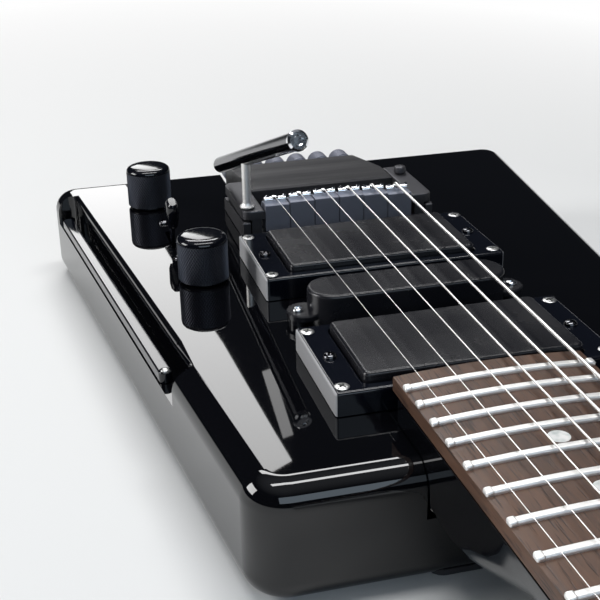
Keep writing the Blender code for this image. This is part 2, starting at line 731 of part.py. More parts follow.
def make_neck():
    """Neck with its heel and tenon, and the truss rod in its channel."""
    stations = [NECK_END, NECK_END + 0.004, -SCALE, -0.50, -0.36, NECK_CURVE_START]
    stations += [NECK_CURVE_START + (HEEL_START - NECK_CURVE_START) * step / 5 for step in range(1, 6)]
    stations += [BODY_FRONT, TENON_END]
    rings = [neck_ring(y) for y in stations]
    rings[0] = [(x * 0.9, y, BOARD_BOTTOM + (z - BOARD_BOTTOM) * 0.8) for x, y, z in rings[0]]
    neck = add_node("neck", loft(rings), "gloss_black", smooth=40)
    step_low = (-2 * HEEL_HALF, FRETBOARD_END - GAP, FACE - GAP)
    cut(neck, box(step_low, (2 * HEEL_HALF, TENON_END + OVERSHOOT, BOARD_BOTTOM + OVERSHOOT)), "tenon_step")
    channel_low = (-TRUSS_HALF - GAP, TRUSS_FRONT - GAP, BOARD_BOTTOM - TRUSS_DEPTH - GAP)
    channel_high = (TRUSS_HALF + GAP, TRUSS_REAR + GAP, BOARD_BOTTOM + OVERSHOOT)
    cut(neck, box(channel_low, channel_high), "truss_channel")
    holes = [moved(rod(NECK_SCREW_RADIUS + GAP, 0, POCKET_FLOOR + NECK_SCREW_BITE, 8), (x, y, 0))
             for x, y in neck_screw_places()]
    cut(neck, gather(holes), "screw_holes")
    head_holes = [moved(rod(SMALL_SHANK + GAP, BOARD_BOTTOM - 0.008, BOARD_BOTTOM + OVERSHOOT, 8), (x, y, 0))
                  for x, y in headpiece_screw_places()]
    cut(neck, gather(head_holes), "head_screw_holes")

    rod_low = (-TRUSS_HALF, TRUSS_FRONT, BOARD_BOTTOM - TRUSS_DEPTH)
    bm = box(rod_low, (TRUSS_HALF, TRUSS_REAR, BOARD_BOTTOM - GAP))
    half_length = (TRUSS_REAR - TRUSS_FRONT) / 2
    soften(bm, 0.0012, 1, lambda edge: abs(edge.verts[0].co.y - edge.verts[1].co.y) > half_length)
    add_node("truss_rod", bm, "steel")

    plate = prism(rounded(*NECK_PLATE_SIZE, 0.004, NECK_PLATE_AT, 3), GAP, GAP + NECK_PLATE_THICKNESS)
    plate = add_node("neck_plate", plate, "black_metal")
    holes = [moved(rod(NECK_SCREW_RADIUS + GAP, -OVERSHOOT, OVERSHOOT, 10), (x, y, 0))
             for x, y in neck_screw_places()]
    cut(plate, gather(holes), "holes")


def board_ring(y, facets=4):
    """Section of the fretboard: flat below, crowned above."""
    half = board_half(y)
    ring = [(-half, y, BOARD_BOTTOM + GAP), (half, y, BOARD_BOTTOM + GAP)]
    for step in range(facets + 1):
        x = half - 2 * half * step / facets
        ring.append((x, y, board_height(x)))
    return ring


def fret_ring(x, y, share):
    """Half-round section of a fret at x, with its height scaled by share."""
    base = board_height(x) - FRET_SEAT
    half = FRET_WIDTH / 2
    height = FRET_SEAT + FRET_HEIGHT * share
    shape = ((-half, 0), (-half * 0.5, height), (half * 0.5, height), (half, 0))
    return [(x, y + across, base + up) for across, up in shape]


def make_fretboard():
    """Fretboard with its frets driven in, and the nut in front of it."""
    blank = loft([board_ring(-SCALE + GAP), board_ring(FRETBOARD_END)])
    board = add_node("fretboard", blank, "rosewood", smooth=20)
    frets = []
    for number in range(1, FRET_COUNT + 1):
        y = fret_y(number)
        half = board_half(y) - GAP
        slope = 0.0012
        places = [(-half, 0.4), (-half + slope, 1), (0, 1), (half - slope, 1), (half, 0.4)]
        frets.append(loft([fret_ring(x, y, share) for x, share in places]))
    unite(board, gather(frets), "frets")

    shoulder = board_height(NUT_HALF) + FRET_HEIGHT
    outline = [(NUT_HALF, BOARD_BOTTOM + GAP), (NUT_HALF, shoulder)]
    for index in reversed(range(6)):
        x = string_x(index, STRING_SPREAD_NUT)
        radius = STRING_RADII[index]
        top = nut_height(index) + 0.0006
        floor = nut_height(index) - radius - GAP
        wide = radius + GAP
        outline += [(x + wide, top), (x + wide, floor), (x - wide, floor), (x - wide, top)]
    outline += [(-NUT_HALF, shoulder), (-NUT_HALF, BOARD_BOTTOM + GAP)]
    add_node("nut", prism_y(outline, -SCALE - NUT_LENGTH, -SCALE), "black_plastic")


def headpiece_screw_places():
    """Centres of the two screws of the headpiece, between strings."""
    step = STRING_SPREAD_NUT / 5
    return [(side * step, HEADPIECE_FRONT - 0.0058) for side in (-1, 1)]


def make_headpiece():
    """Metal end piece that holds the ball ends in place of a peg head."""
    low = BOARD_BOTTOM + GAP
    high = BOARD_TOP + HEADPIECE_OVER_BOARD
    profile = [(HEADPIECE_FRONT, low), (HEADPIECE_FRONT, high - 0.0008), (HEADPIECE_FRONT - 0.0008, high)]
    profile += [(HEADPIECE_END + 0.006, high), (HEADPIECE_END + 0.0025, high - 0.001)]
    profile += [(HEADPIECE_END + 0.0006, high - 0.0033), (HEADPIECE_END, high - 0.006), (HEADPIECE_END, low)]
    half = NUT_HALF - GAP
    piece = add_node("headpiece", prism_x(profile, -half, half), "black_metal")
    slots = []
    for index in range(6):
        x = string_x(index, STRING_SPREAD_NUT)
        wide = STRING_RADII[index] + 0.0004
        slot_high = (x + wide, HEADPIECE_FRONT + OVERSHOOT, high + OVERSHOOT)
        slots.append(box((x - wide, BALL_Y, BALL_Z - 0.0012), slot_high))
    cut(piece, gather(slots), "string_slots")
    pockets = []
    for index in range(6):
        x = string_x(index, STRING_SPREAD_NUT)
        room = BALL_RADIUS + 0.0004
        pocket = rounded(2 * room, BALL_LENGTH + 0.0012, 0.0006, (x, BALL_Y), 1)
        pockets.append(prism(pocket, BALL_Z - BALL_RADIUS - GAP, high + OVERSHOOT))
    cut(piece, gather(pockets), "ball_pockets")
    holes = [moved(rod(SMALL_SHANK + GAP, low - OVERSHOOT, high + OVERSHOOT, 8), (x, y, 0))
             for x, y in headpiece_screw_places()]
    cut(piece, gather(holes), "screw_holes")


def crest_top(index):
    """Height of the saddle crest under a string."""
    return bridge_height(index) - STRING_RADII[index] - GAP


def make_strings():
    """Six strings, each whole from its ball in the headpiece to its ball in the jaw."""
    for index, radius in enumerate(STRING_RADII):
        nut_x = string_x(index, STRING_SPREAD_NUT)
        bridge_x = string_x(index, STRING_SPREAD_BRIDGE)
        jaw_x = tuner_x(index)
        nut_z = nut_height(index)
        bridge_z = bridge_height(index)
        half_ball = BALL_LENGTH / 2
        entry = BLOCK_FRONT + 0.0005
        route = [
            (nut_x, BALL_Y - half_ball, BALL_Z),
            (nut_x, BALL_Y + half_ball, BALL_Z),
            (nut_x, BALL_Y + half_ball + 0.0001, BALL_Z),
            (nut_x, HEADPIECE_FRONT - 0.001, nut_z - 0.0003),
            (nut_x, -SCALE - NUT_LENGTH / 2, nut_z),
            (nut_x, -SCALE + 0.002, nut_z),
            (bridge_x, CREST_Y - 0.0012, bridge_z - 0.0001),
            (bridge_x, CREST_Y, bridge_z),
            (bridge_x, CREST_Y + 0.0015, bridge_z - 0.0004),
            (bridge_x + (jaw_x - bridge_x) * 0.9, entry - 0.002, TUNER_Z + 0.0010),
            (jaw_x, entry + 0.001, TUNER_Z),
            (jaw_x, JAW_BALL_Y - half_ball - 0.0001, TUNER_Z),
            (jaw_x, JAW_BALL_Y - half_ball, TUNER_Z),
            (jaw_x, JAW_BALL_Y + half_ball, TUNER_Z),
        ]
        radii = [BALL_RADIUS] * 2 + [radius] * 10 + [BALL_RADIUS] * 2
        add_node("string_" + str(index + 1), tube(route, radii, 6), "nickel", smooth=40)


def make_ring(name, y, height):
    """Pickup ring with bevelled edges, and room for the cover and the screws."""
    bm = prism(rounded(RING_LENGTH, RING_WIDTH, 0.0012, (0, y), 2), FACE + GAP, FACE + height)
    soften(bm, RING_BEVEL, 2, edge_at(FACE + height))
    ring = add_node(name, bm, "black_plastic", smooth=20)
    room = 0.0006
    hole = rounded(COVER_LENGTH + 2 * room, COVER_WIDTH + 2 * room, 0.0022, (0, y), 2)
    low = FACE - OVERSHOOT
    high = FACE + height + OVERSHOOT
    cut(ring, prism(hole, low, high), "opening")
    places = [place for place in ring_screw_places() if abs(place[1] - y) < RING_WIDTH]
    places += [(side * HEIGHT_SCREW_X, y) for side in (-1, 1)]
    holes = [moved(rod(SMALL_SHANK + GAP, low, high, 8), (x, at, 0)) for x, at in places]
    cut(ring, gather(holes), "screw_holes")


def make_humbucker(name, y, rise):
    """Closed cover of a humbucker, with the base that its height screws lift."""
    low = FACE - PICKUP_DEPTH
    cover = prism(rounded(COVER_LENGTH, COVER_WIDTH, 0.002, (0, y), 2), low, FACE + rise)
    soften(cover, 0.0009, 2, edge_at(FACE + rise))
    ears = prism(rounded(2 * RING_SCREW_X - 0.001, 0.012, 0.002, (0, y), 2), low - 0.0018, low + GAP)
    pickup = add_node(name, cover, "satin_black", smooth=20)
    unite(pickup, ears, "ears")
    holes = [moved(rod(SMALL_SHANK + GAP, low - OVERSHOOT, low + 0.005, 8), (side * HEIGHT_SCREW_X, y, 0))
             for side in (-1, 1)]
    cut(pickup, gather(holes), "height_screw_holes")


def make_pickups():
    """Two humbuckers in rings and a pill-shaped single coil between them."""
    make_ring("bridge_ring", BRIDGE_PICKUP_Y, BRIDGE_RING_HEIGHT)
    make_ring("neck_ring", NECK_PICKUP_Y, NECK_RING_HEIGHT)
    make_humbucker("bridge_pickup", BRIDGE_PICKUP_Y, BRIDGE_COVER_RISE)
    make_humbucker("neck_pickup", NECK_PICKUP_Y, NECK_COVER_RISE)

    outline = rounded(PILL_LENGTH, PILL_WIDTH, PILL_WIDTH / 2 - 0.00001, (0, MIDDLE_PICKUP_Y), 6)
    pill = prism(outline, FACE - PICKUP_DEPTH, FACE + PILL_RISE)
    soften(pill, 0.0012, 2, edge_at(FACE + PILL_RISE))
    middle = add_node("middle_pickup", pill, "satin_black", smooth=20)
    ears = []
    for side in (-1, 1):
        arc = corner_arc((EAR_TIP - EAR_RADIUS, 0), EAR_RADIUS, -90, 90, 8)
        inner = PILL_LENGTH / 2 - PILL_WIDTH / 2
        shape = [(inner, -EAR_RADIUS)] + arc + [(inner, EAR_RADIUS)]
        shape = [(side * x, MIDDLE_PICKUP_Y + y) for x, y in shape]
        ears.append(prism(shape, FACE + GAP, FACE + EAR_THICKNESS))
    unite(middle, gather(ears), "ears")
    holes = [moved(rod(SMALL_SHANK + GAP, FACE - OVERSHOOT, FACE + OVERSHOOT, 8),
                   (side * EAR_SCREW_X, MIDDLE_PICKUP_Y, 0)) for side in (-1, 1)]
    cut(middle, gather(holes), "screw_holes")


def make_pivot_brackets():
    """Two side brackets on the face, with the bores that the tremolo tilts in."""
    low = FACE + GAP
    top = FACE + CHEEK_RISE
    top_rear = FACE + CHEEK_RISE_REAR
    profile = [(WING_FRONT, low), (WING_FRONT, top - 0.0006), (WING_FRONT + 0.0006, top),
               (0.005, top), (WING_REAR - 0.001, top_rear), (WING_REAR, top_rear - 0.001), (WING_REAR, low)]
    for side, label in ((-1, "treble"), (1, "bass")):
        ends = sorted((side * CHEEK_INNER, side * WING_HALF))
        bracket = add_node("bracket_" + label, prism_x(profile, *ends), "black_metal", smooth=30)
        ends = sorted((side * (ROUT_HALF + GAP), side * (CHEEK_INNER + 0.001)))
        unite(bracket, box((ends[0], FOOT_FRONT, low), (ends[1], WING_REAR, FACE + FOOT_THICKNESS)), "foot")
        pin = rod(PIVOT_RADIUS + 0.0001, -0.05, 0.05, 16)
        cut(bracket, along(pin, PIVOT, PIVOT + Vector((1, 0, 0))), "pin_bore")
        holes = [moved(rod(SMALL_SHANK + GAP, FACE - OVERSHOOT, FACE + OVERSHOOT, 8), (x, y, 0))
                 for x, y in frame_screw_places() if x * side > 0]
        cut(bracket, gather(holes), "screw_holes")


def wing_outline(side):
    """Plan of one wing of the tremolo frame, with a rounded outer front corner."""
    inner = BLOCK_HALF + GAP
    radius = WING_CORNER
    shape = [(inner, WING_FRONT)] + corner_arc((WING_HALF - radius, WING_FRONT + radius), radius, -90, 0, 4)
    shape += corner_arc((WING_HALF - radius, WING_REAR - radius), radius, 0, 90, 4) + [(inner, WING_REAR)]
    return [(side * x, y) for x, y in shape]


def make_tremolo():
    """Tilting frame with two wings, its lugs, and the bed for the saddles."""
    parts = []
    for side in (-1, 1):
        wing = prism(wing_outline(side), FACE + WING_BOTTOM, FACE + WING_TOP)
        soften(wing, 0.0006, 2, edge_at(FACE + WING_TOP))
        parts.append(wing)
    frame = add_node("tremolo_frame", parts[0], "black_metal", pivot=PIVOT, smooth=30)
    lugs = []
    lug_front = WING_FRONT + 0.0002
    lug_rear = 0.0118
    lug_top = FACE + WING_BOTTOM + 0.001
    profile = [(lug_front, FACE + BED_BOTTOM), (BED_REAR, FACE + BED_BOTTOM), (lug_rear, FACE + 0.004),
               (lug_rear, lug_top), (lug_front, lug_top)]
    for side in (-1, 1):
        lugs.append(prism_x(profile, *sorted((side * LUG_INNER, side * LUG_OUTER))))
    bed = box((-LUG_INNER - 0.001, WING_FRONT + 0.0003, FACE + BED_BOTTOM),
              (LUG_INNER + 0.001, BED_REAR - 0.0003, FACE + BED_TOP))
    pins = []
    for side in (-1, 1):
        start = PIVOT + Vector((side * (LUG_INNER + 0.001), 0, 0))
        end = PIVOT + Vector((side * WING_HALF, 0, 0))
        pins.append(along(rod(PIVOT_RADIUS, 0, (end - start).length, 16), start, end))
    for label, shape in (("wing", parts[1]), ("lugs", gather(lugs)), ("bed", bed), ("pins", gather(pins))):
        unite(frame, shape, label)
    cut(frame, moved(rod(POST_RADIUS + GAP, -OVERSHOOT, OVERSHOOT, 12), ARM_POST), "arm_bore")
    cut(frame, moved(rod(LOCK_RADIUS + GAP, -OVERSHOOT, OVERSHOOT, 12), LOCK_AT), "lock_bore")

    for index in range(6):
        make_saddle(index)
    make_tuner_block()
    make_spring()


def make_saddle(index):
    """One saddle: a block on the bed, the crest under its string, two height screws."""
    x = string_x(index, STRING_SPREAD_BRIDGE)
    top = crest_top(index)
    half = SADDLE_WIDTH / 2
    low = FACE + BED_TOP + GAP
    shelf = top - CREST_HEIGHT
    profile = [(WING_FRONT, low), (WING_FRONT, shelf - 0.0006), (WING_FRONT + 0.0006, shelf),
               (CREST_Y + 0.0015, shelf), (SADDLE_REAR, FACE + SADDLE_REAR_RISE), (SADDLE_REAR, low)]
    saddle = add_node("saddle_" + str(index + 1), prism_x(profile, x - half, x + half), "black_metal")
    base = shelf - GAP
    crest = [(CREST_Y - 0.0014, base), (CREST_Y - 0.0012, top - 0.0007), (CREST_Y - 0.0005, top - 0.0001),
             (CREST_Y, top), (CREST_Y + 0.0006, top - 0.0004), (CREST_Y + 0.0012, base)]
    unite(saddle, prism_x(crest, x - half + GAP, x + half - GAP), "crest")
    stubs = []
    for offset in SADDLE_SCREW_OFFSETS:
        stub = rod(SADDLE_SCREW_RADIUS, shelf - 0.002, top + 0.0008, 8)
        stubs.append(moved(stub, (x + offset, CREST_Y, 0)))
    unite(saddle, gather(stubs), "screws")


def make_tuner_block():
    """Sloping block behind the saddles: six bores with their jaws and tuner knobs."""
    top = FACE + BLOCK_TOP
    profile = [(BLOCK_FRONT, FACE + BLOCK_BOTTOM), (BLOCK_FRONT, top - 0.0008), (BLOCK_FRONT + 0.0008, top),
               (BLOCK_SLOPE_START, top), (BLOCK_REAR - 0.001, FACE + BLOCK_TOP_REAR),
               (BLOCK_REAR, FACE + BLOCK_TOP_REAR - 0.0012), (BLOCK_REAR, FACE + BLOCK_BOTTOM)]
    bm = prism_x(profile, -BLOCK_HALF, BLOCK_HALF)
    above = FACE + BLOCK_TOP_REAR - 0.0001
    soften(bm, BLOCK_BEVEL, 2, lambda edge: all(vert.co.z > above for vert in edge.verts)
           and abs(edge.verts[0].co.y - edge.verts[1].co.y) > 0.005)
    block = add_node("tuner_block", bm, "black_metal", smooth=30)
    arm = box((-SPRING_ARM_HALF, SPRING_ARM_FRONT, SPRING_Z - SPRING_ARM_DROP),
              (SPRING_ARM_HALF, SPRING_ARM_REAR, FACE + BLOCK_BOTTOM + 0.001))
    unite(block, arm, "arm")
    bores = []
    for index in range(6):
        bore = rod(JAW_RADIUS + GAP, 0, BLOCK_REAR - BLOCK_FRONT - 0.008, 12)
        at = (tuner_x(index), BLOCK_FRONT - 0.003, TUNER_Z)
        bores.append(along(bore, at, (at[0], BLOCK_REAR, at[2])))
    cut(block, gather(bores), "jaw_bores")
    shafts = []
    for index in range(6):
        at = (tuner_x(index), BLOCK_REAR - 0.012, TUNER_Z)
        shafts.append(along(rod(TUNER_SHAFT_RADIUS + GAP, 0, 0.02, 8), at, (at[0], BLOCK_REAR, at[2])))
    cut(block, gather(shafts), "shaft_bores")

    for index in range(6):
        number = str(index + 1)
        at = Vector((tuner_x(index), BLOCK_REAR + GAP, TUNER_Z))
        shaft_length = at.y - JAW_FRONT - JAW_LENGTH + THREAD_OVERLAP
        profile = [(0, -shaft_length), (TUNER_SHAFT_RADIUS, -shaft_length), (TUNER_SHAFT_RADIUS, 0),
                   (TUNER_RADIUS - 0.0012, 0),
                   (TUNER_RADIUS, 0.0008), (TUNER_RADIUS, TUNER_LENGTH - 0.001),
                   (TUNER_RADIUS - 0.0009, TUNER_LENGTH - 0.0002), (0.002, TUNER_LENGTH), (0, TUNER_LENGTH)]
        knob = along(turned(profile, 14), at, at + Vector((0, 1, 0)))
        add_node("tuner_knob_" + number, knob, "black_metal", pivot=at, smooth=40)
        jaw = along(turned([(0, 0), (JAW_RADIUS - 0.0004, 0), (JAW_RADIUS, 0.0004), (JAW_RADIUS, JAW_LENGTH),
                            (0, JAW_LENGTH)], 12), (at.x, JAW_FRONT, at.z), at)
        node = add_node("string_jaw_" + number, jaw, "steel", pivot=(at.x, JAW_FRONT, at.z), smooth=40)
        room = BALL_RADIUS + GAP
        seat = (at.x - room, JAW_BALL_Y - BALL_LENGTH / 2 - GAP, at.z - room)
        cut(node, box(seat, (at.x + room, JAW_BALL_Y + BALL_LENGTH / 2 + GAP, at.z + OVERSHOOT)), "ball_seat")
        wide = STRING_RADII[index] + 0.0004
        slot = ((at.x - wide, JAW_FRONT - 0.002, at.z - wide), (at.x + wide, JAW_BALL_Y, at.z + OVERSHOOT))
        cut(node, box(*slot), "string_slot")
        thread = rod(TUNER_SHAFT_RADIUS + GAP, 0, THREAD_DEPTH + OVERSHOOT, 8)
        start = (at.x, JAW_FRONT + JAW_LENGTH - THREAD_DEPTH, at.z)
        cut(node, along(thread, start, (at.x, BLOCK_REAR, at.z)), "thread_bore")


def make_spring():
    """Compression spring behind the block's arm, with its bracket and wheel."""
    start = SPRING_ARM_REAR + GAP
    end = BRACKET_FRONT - GAP
    points = []
    steps = SPRING_TURNS * 10
    first = start + SPRING_WIRE_RADIUS
    pitch = (end - start - 2 * SPRING_WIRE_RADIUS) / SPRING_TURNS
    for step in range(steps + 1):
        angle = math.tau * step / 10
        points.append((SPRING_COIL_RADIUS * math.cos(angle), first + pitch * step / 10,
                       SPRING_Z + SPRING_COIL_RADIUS * math.sin(angle)))
    print("least gap between spring turns in mm:", round((pitch - 2 * SPRING_WIRE_RADIUS) * 1000, 2))
    add_node("tremolo_spring", tube(points, [SPRING_WIRE_RADIUS] * len(points), 6), "steel", smooth=60)

    rear = BRACKET_FRONT + BRACKET_THICKNESS
    bracket = box((-BRACKET_HALF, BRACKET_FRONT, ROUT_FLOOR + GAP),
                  (BRACKET_HALF, rear, SPRING_Z + BRACKET_RISE))
    bracket = add_node("spring_bracket", bracket, "steel")
    bore = rod(SPRING_SCREW_RADIUS + GAP, -OVERSHOOT, 2 * OVERSHOOT, 12)
    bore = along(bore, (0, BRACKET_FRONT, SPRING_Z), (0, BODY_TAIL, SPRING_Z))
    cut(bracket, bore, "screw_bore")
    at = Vector((0, rear + GAP, SPRING_Z))
    shank = SPRING_SCREW_RADIUS
    profile = [(0, -SPRING_SCREW_LENGTH), (shank, -SPRING_SCREW_LENGTH), (shank, 0),
               (WHEEL_RADIUS - 0.0004, 0), (WHEEL_RADIUS, 0.0006), (WHEEL_RADIUS, WHEEL_LENGTH - 0.0008),
               (WHEEL_RADIUS - 0.0006, WHEEL_LENGTH), (0, WHEEL_LENGTH)]
    wheel = along(turned(profile, 14), at, at + Vector((0, 1, 0)))
    add_node("spring_wheel", wheel, "black_metal", pivot=at, smooth=40)


def make_arm():
    """Tremolo arm: a post in the frame's wing, and a bar that slants over it."""
    direction = (ARM_TIP - ARM_REAR).normalized()
    length = (ARM_TIP - ARM_REAR).length
    r = ARM_RADIUS
    cap = ARM_CAP_RADIUS
    profile = [(0, -r * 0.95), (r * 0.55, -r * 0.72), (r * 0.9, -r * 0.3), (r, 0.0006), (r, length - 0.0030),
               (r * 0.9, length - 0.0026), (cap, length - 0.0020), (cap, length - 0.0004),
               (cap - 0.0005, length), (0, length)]
    bar = along(turned(profile, 16), ARM_REAR, ARM_TIP)
    arm = add_node("tremolo_arm", bar, "chrome", pivot=ARM_POST, smooth=40)
    share = (ARM_POST.y - ARM_REAR.y) / direction.y / length
    middle_z = (ARM_REAR + (ARM_TIP - ARM_REAR) * share).z
    height = middle_z - ARM_POST.z
    foot = GAP - WING_THICKNESS
    post = [(0, foot), (POST_RADIUS, foot), (POST_RADIUS, GAP), (COLLAR_RADIUS, GAP), (COLLAR_RADIUS, 0.0012),
            (POST_RADIUS, 0.0022), (POST_RADIUS, height), (0, height)]
    unite(arm, moved(turned(post, 12), ARM_POST), "post")
    lock = [(0, foot), (LOCK_RADIUS, foot), (LOCK_RADIUS, GAP), (0.0024, GAP), (0.0026, 0.0010),
            (0.0024, 0.0030), (0, 0.0034)]
    add_node("lock_screw", moved(turned(lock, 16), LOCK_AT), "black_metal", pivot=LOCK_AT, smooth=40)


def make_knob(name, at):
    """Barrel knob with a bevelled top, hollow below for the shaft and its nut."""
    low = GAP * 2
    top = KNOB_HEIGHT
    bore = SHAFT_RADIUS + GAP
    profile = [(0, top - KNOB_ROOF), (bore, top - KNOB_ROOF), (bore, KNOB_RECESS_DEPTH),
               (KNOB_RECESS_RADIUS, KNOB_RECESS_DEPTH), (KNOB_RECESS_RADIUS, low),
               (KNOB_RADIUS, low), (KNOB_RADIUS, top - 0.0022), (KNOB_RADIUS - 0.0009, top - 0.0009),
               (KNOB_RADIUS - 0.0026, top - 0.0003), (KNOB_RADIUS / 3, top), (0, top)]
    add_node(name, moved(turned(profile, 26), at), "black_plastic", pivot=at, smooth=30)


def make_pot(at):
    """Pot can under the top, its bushing and nut, and the shaft up into the knob."""
    can_top = -TOP_WOOD - GAP
    shaft_top = KNOB_HEIGHT - KNOB_ROOF - GAP
    profile = [(0, can_top - POT_DEPTH), (POT_RADIUS, can_top - POT_DEPTH), (POT_RADIUS, can_top),
               (BUSHING_RADIUS, can_top), (BUSHING_RADIUS, GAP), (POT_NUT_RADIUS, GAP),
               (POT_NUT_RADIUS, POT_NUT_TOP), (BUSHING_RADIUS, POT_NUT_TOP), (BUSHING_RADIUS, BUSHING_TOP),
               (SHAFT_RADIUS, BUSHING_TOP), (SHAFT_RADIUS, shaft_top), (0, shaft_top)]
    return moved(turned(profile, 16), at)


def make_controls():
    """Two knobs on their pots, the blade switch, and the cover of the cavity."""
    make_knob("volume_knob", VOLUME_AT)
    make_knob("tone_knob", TONE_AT)
    add_node("volume_pot", make_pot(VOLUME_AT), "steel", smooth=40)
    add_node("tone_pot", make_pot(TONE_AT), "steel", smooth=40)

    high = CAVITY_TOP - GAP
    length = SWITCH_SCREW_SPACING + 0.008
    outline = rounded(SWITCH_FRAME_WIDTH, length, 0.002, (SWITCH_X, SWITCH_Y), 2)
    frame = add_node("switch_frame", prism(outline, high - SWITCH_FRAME_THICKNESS, high), "steel")
    gate = box((SWITCH_X - SWITCH_SLOT_WIDTH, SWITCH_Y - SWITCH_SLOT_LENGTH / 2, high - OVERSHOOT),
               (SWITCH_X + SWITCH_SLOT_WIDTH, SWITCH_Y + SWITCH_SLOT_LENGTH / 2, high + OVERSHOOT))
    cut(frame, gate, "gate")
    cheeks = []
    for side in (-1, 1):
        inner = SWITCH_X + side * SWITCH_CHEEK_X - SWITCH_CHEEK_THICKNESS / 2
        cheeks.append(box((inner, SWITCH_Y - SWITCH_CHEEK_HALF, high - SWITCH_CHEEK_DEPTH),
                          (inner + SWITCH_CHEEK_THICKNESS, SWITCH_Y + SWITCH_CHEEK_HALF, high - 0.0010)))
    unite(frame, gather(cheeks), "cheeks")
    pin = rod(SWITCH_AXLE_RADIUS + GAP, -0.0065, 0.0065, 10)
    pin = along(pin, SWITCH_PIVOT, SWITCH_PIVOT + Vector((1, 0, 0)))
    cut(frame, pin, "pin_bore")
    holes = [moved(rod(SMALL_SHANK + GAP, high - OVERSHOOT, high + OVERSHOOT, 8),
                   (SWITCH_X, SWITCH_Y + side * SWITCH_SCREW_SPACING / 2, 0)) for side in (-1, 1)]
    cut(frame, gather(holes), "screw_holes")
    make_switch_lever()

    centre = ((CAVITY_LEFT + CAVITY_RIGHT) / 2, (CAVITY_FRONT + CAVITY_REAR) / 2)
    margin = 2 * (COVER_MARGIN - GAP)
    lid = (CAVITY_RIGHT - CAVITY_LEFT + margin, CAVITY_REAR - CAVITY_FRONT + margin)
    outline = rounded(*lid, COVER_CORNER - GAP, centre, 3)
    cover = add_node("control_cover", prism(outline, GAP, GAP + COVER_PLATE), "black_plastic")
    holes = [moved(rod(SMALL_SHANK + GAP, -OVERSHOOT, OVERSHOOT, 6), (x, y, 0))
             for x, y in cover_screw_places()]
    cut(cover, gather(holes), "screw_holes")


def make_switch_lever():
    """Blade of the pickup switch with its tip, leaning towards the neck."""
    half = BLADE_THICKNESS / 2
    tip_low = SWITCH_PIVOT_DEPTH + SWITCH_TIP_LOW
    tip_high = SWITCH_PIVOT_DEPTH + SWITCH_TIP_HIGH
    wide = BLADE_WIDTH / 2
    blade = [(-wide, -0.003), (wide, -0.003), (wide, tip_low), (-wide, tip_low)]
    bm = prism_x(blade, -half, half)
    lever = add_node("switch_lever", bm, "black_plastic", smooth=40)
    rings = []
    for share, wide, long in ((0, 0.0034, 0.0060), (0.15, 0.0046, 0.0074), (0.7, 0.0052, 0.0082),
                              (0.9, 0.0044, 0.0074), (1, 0.0026, 0.0054)):
        height = tip_low - 0.0005 + (tip_high - tip_low + 0.0005) * share
        rings.append([(x, y, height) for x, y in rounded(wide, long, wide * 0.49, (0, 0), 3)])
    pieces = [("tip", loft(rings)), ("hub", along(rod(0.0024, -0.0018, 0.0018, 12), (0, 0, 0), (1, 0, 0))),
              ("axle", along(rod(SWITCH_AXLE_RADIUS, -0.0058, 0.0058, 10), (0, 0, 0), (1, 0, 0)))]
    for label, shape in pieces:
        unite(lever, shape, label)
        bpy.data.objects["switch_lever_with_" + label].parent = lever
    lever.location = SWITCH_PIVOT
    lever.rotation_euler = (SWITCH_LEAN, 0, 0)


def make_leg_rest():
    """Bar that swings out of the treble side, on one screw near its nose."""
    half = REST_WIDTH / 2
    length = (REST_END_Y - REST_PIVOT_Y) / math.cos(SIDE_ANGLE)
    shape = corner_arc((0, 0), half, 180, 360, 6) + corner_arc((0, length - 0.0015), half, 0, 180, 4)
    bar = prism(shape, 0, REST_THICKNESS)
    soften(bar, 0.0006, 2, edge_at(REST_THICKNESS))
    rest = add_node("leg_rest", bar, "black_metal", smooth=30)
    rest.location = REST_PIVOT
    rest.rotation_euler = (0, 0, SIDE_ANGLE)
    bore = moved(rod(REST_SCREW_RADIUS + GAP, -OVERSHOOT, OVERSHOOT, 10), REST_PIVOT)
    cut(rest, bore, "pivot_bore")
    seat = REST_THICKNESS - REST_HEAD_SEAT
    head = moved(rod(REST_HEAD_RADIUS + GAP, seat, OVERSHOOT, 12), REST_PIVOT)
    cut(rest, head, "head_seat")
    at = REST_PIVOT + Vector((0, 0, seat + GAP))
    shank = seat + PILOT_DEPTH - 0.0008
    pivot_screw = moved(screw(REST_HEAD_RADIUS, 0.0010, REST_SCREW_RADIUS, shank, 12), at)
    add_node("leg_rest_screw", pivot_screw, "steel", smooth=40)


def make_jack():
    """Output jack with a through bore, in an oblong plate on the tail."""
    start = (JACK_X, CAVITY_REAR - 0.002, JACK_Z)
    end = (JACK_X, BODY_TAIL, JACK_Z)
    reach = BODY_TAIL - CAVITY_REAR + 0.002
    plate_out = reach + GAP + JACK_PLATE_THICKNESS
    face = plate_out + 0.0022
    profile = [(0, 0), (JACK_BARREL, 0), (JACK_BARREL, plate_out + GAP), (JACK_FLANGE, plate_out + GAP),
               (JACK_FLANGE, face - 0.0006), (JACK_BARREL, face), (JACK_BORE, face), (JACK_BORE, 0.0020),
               (0, 0.0020)]
    barrel = along(turned(profile, 16), start, end)
    outline = []
    half_x, half_z = JACK_PLATE_HALF
    for step in range(32):
        angle = math.tau * step / 32
        x = half_x * math.copysign(abs(math.cos(angle)) ** 0.6, math.cos(angle))
        outline.append((x, half_z * math.copysign(abs(math.sin(angle)) ** 0.6, math.sin(angle))))
    plate = holed_plate(outline, JACK_BARREL + GAP, GAP, GAP + JACK_PLATE_THICKNESS)
    plate = along(plate, (JACK_X, BODY_TAIL, JACK_Z), (JACK_X, BODY_TAIL + OVERSHOOT, JACK_Z))
    add_node("output_jack", barrel, "steel", smooth=40)
    add_node("jack_plate", plate, "black_metal", smooth=30)


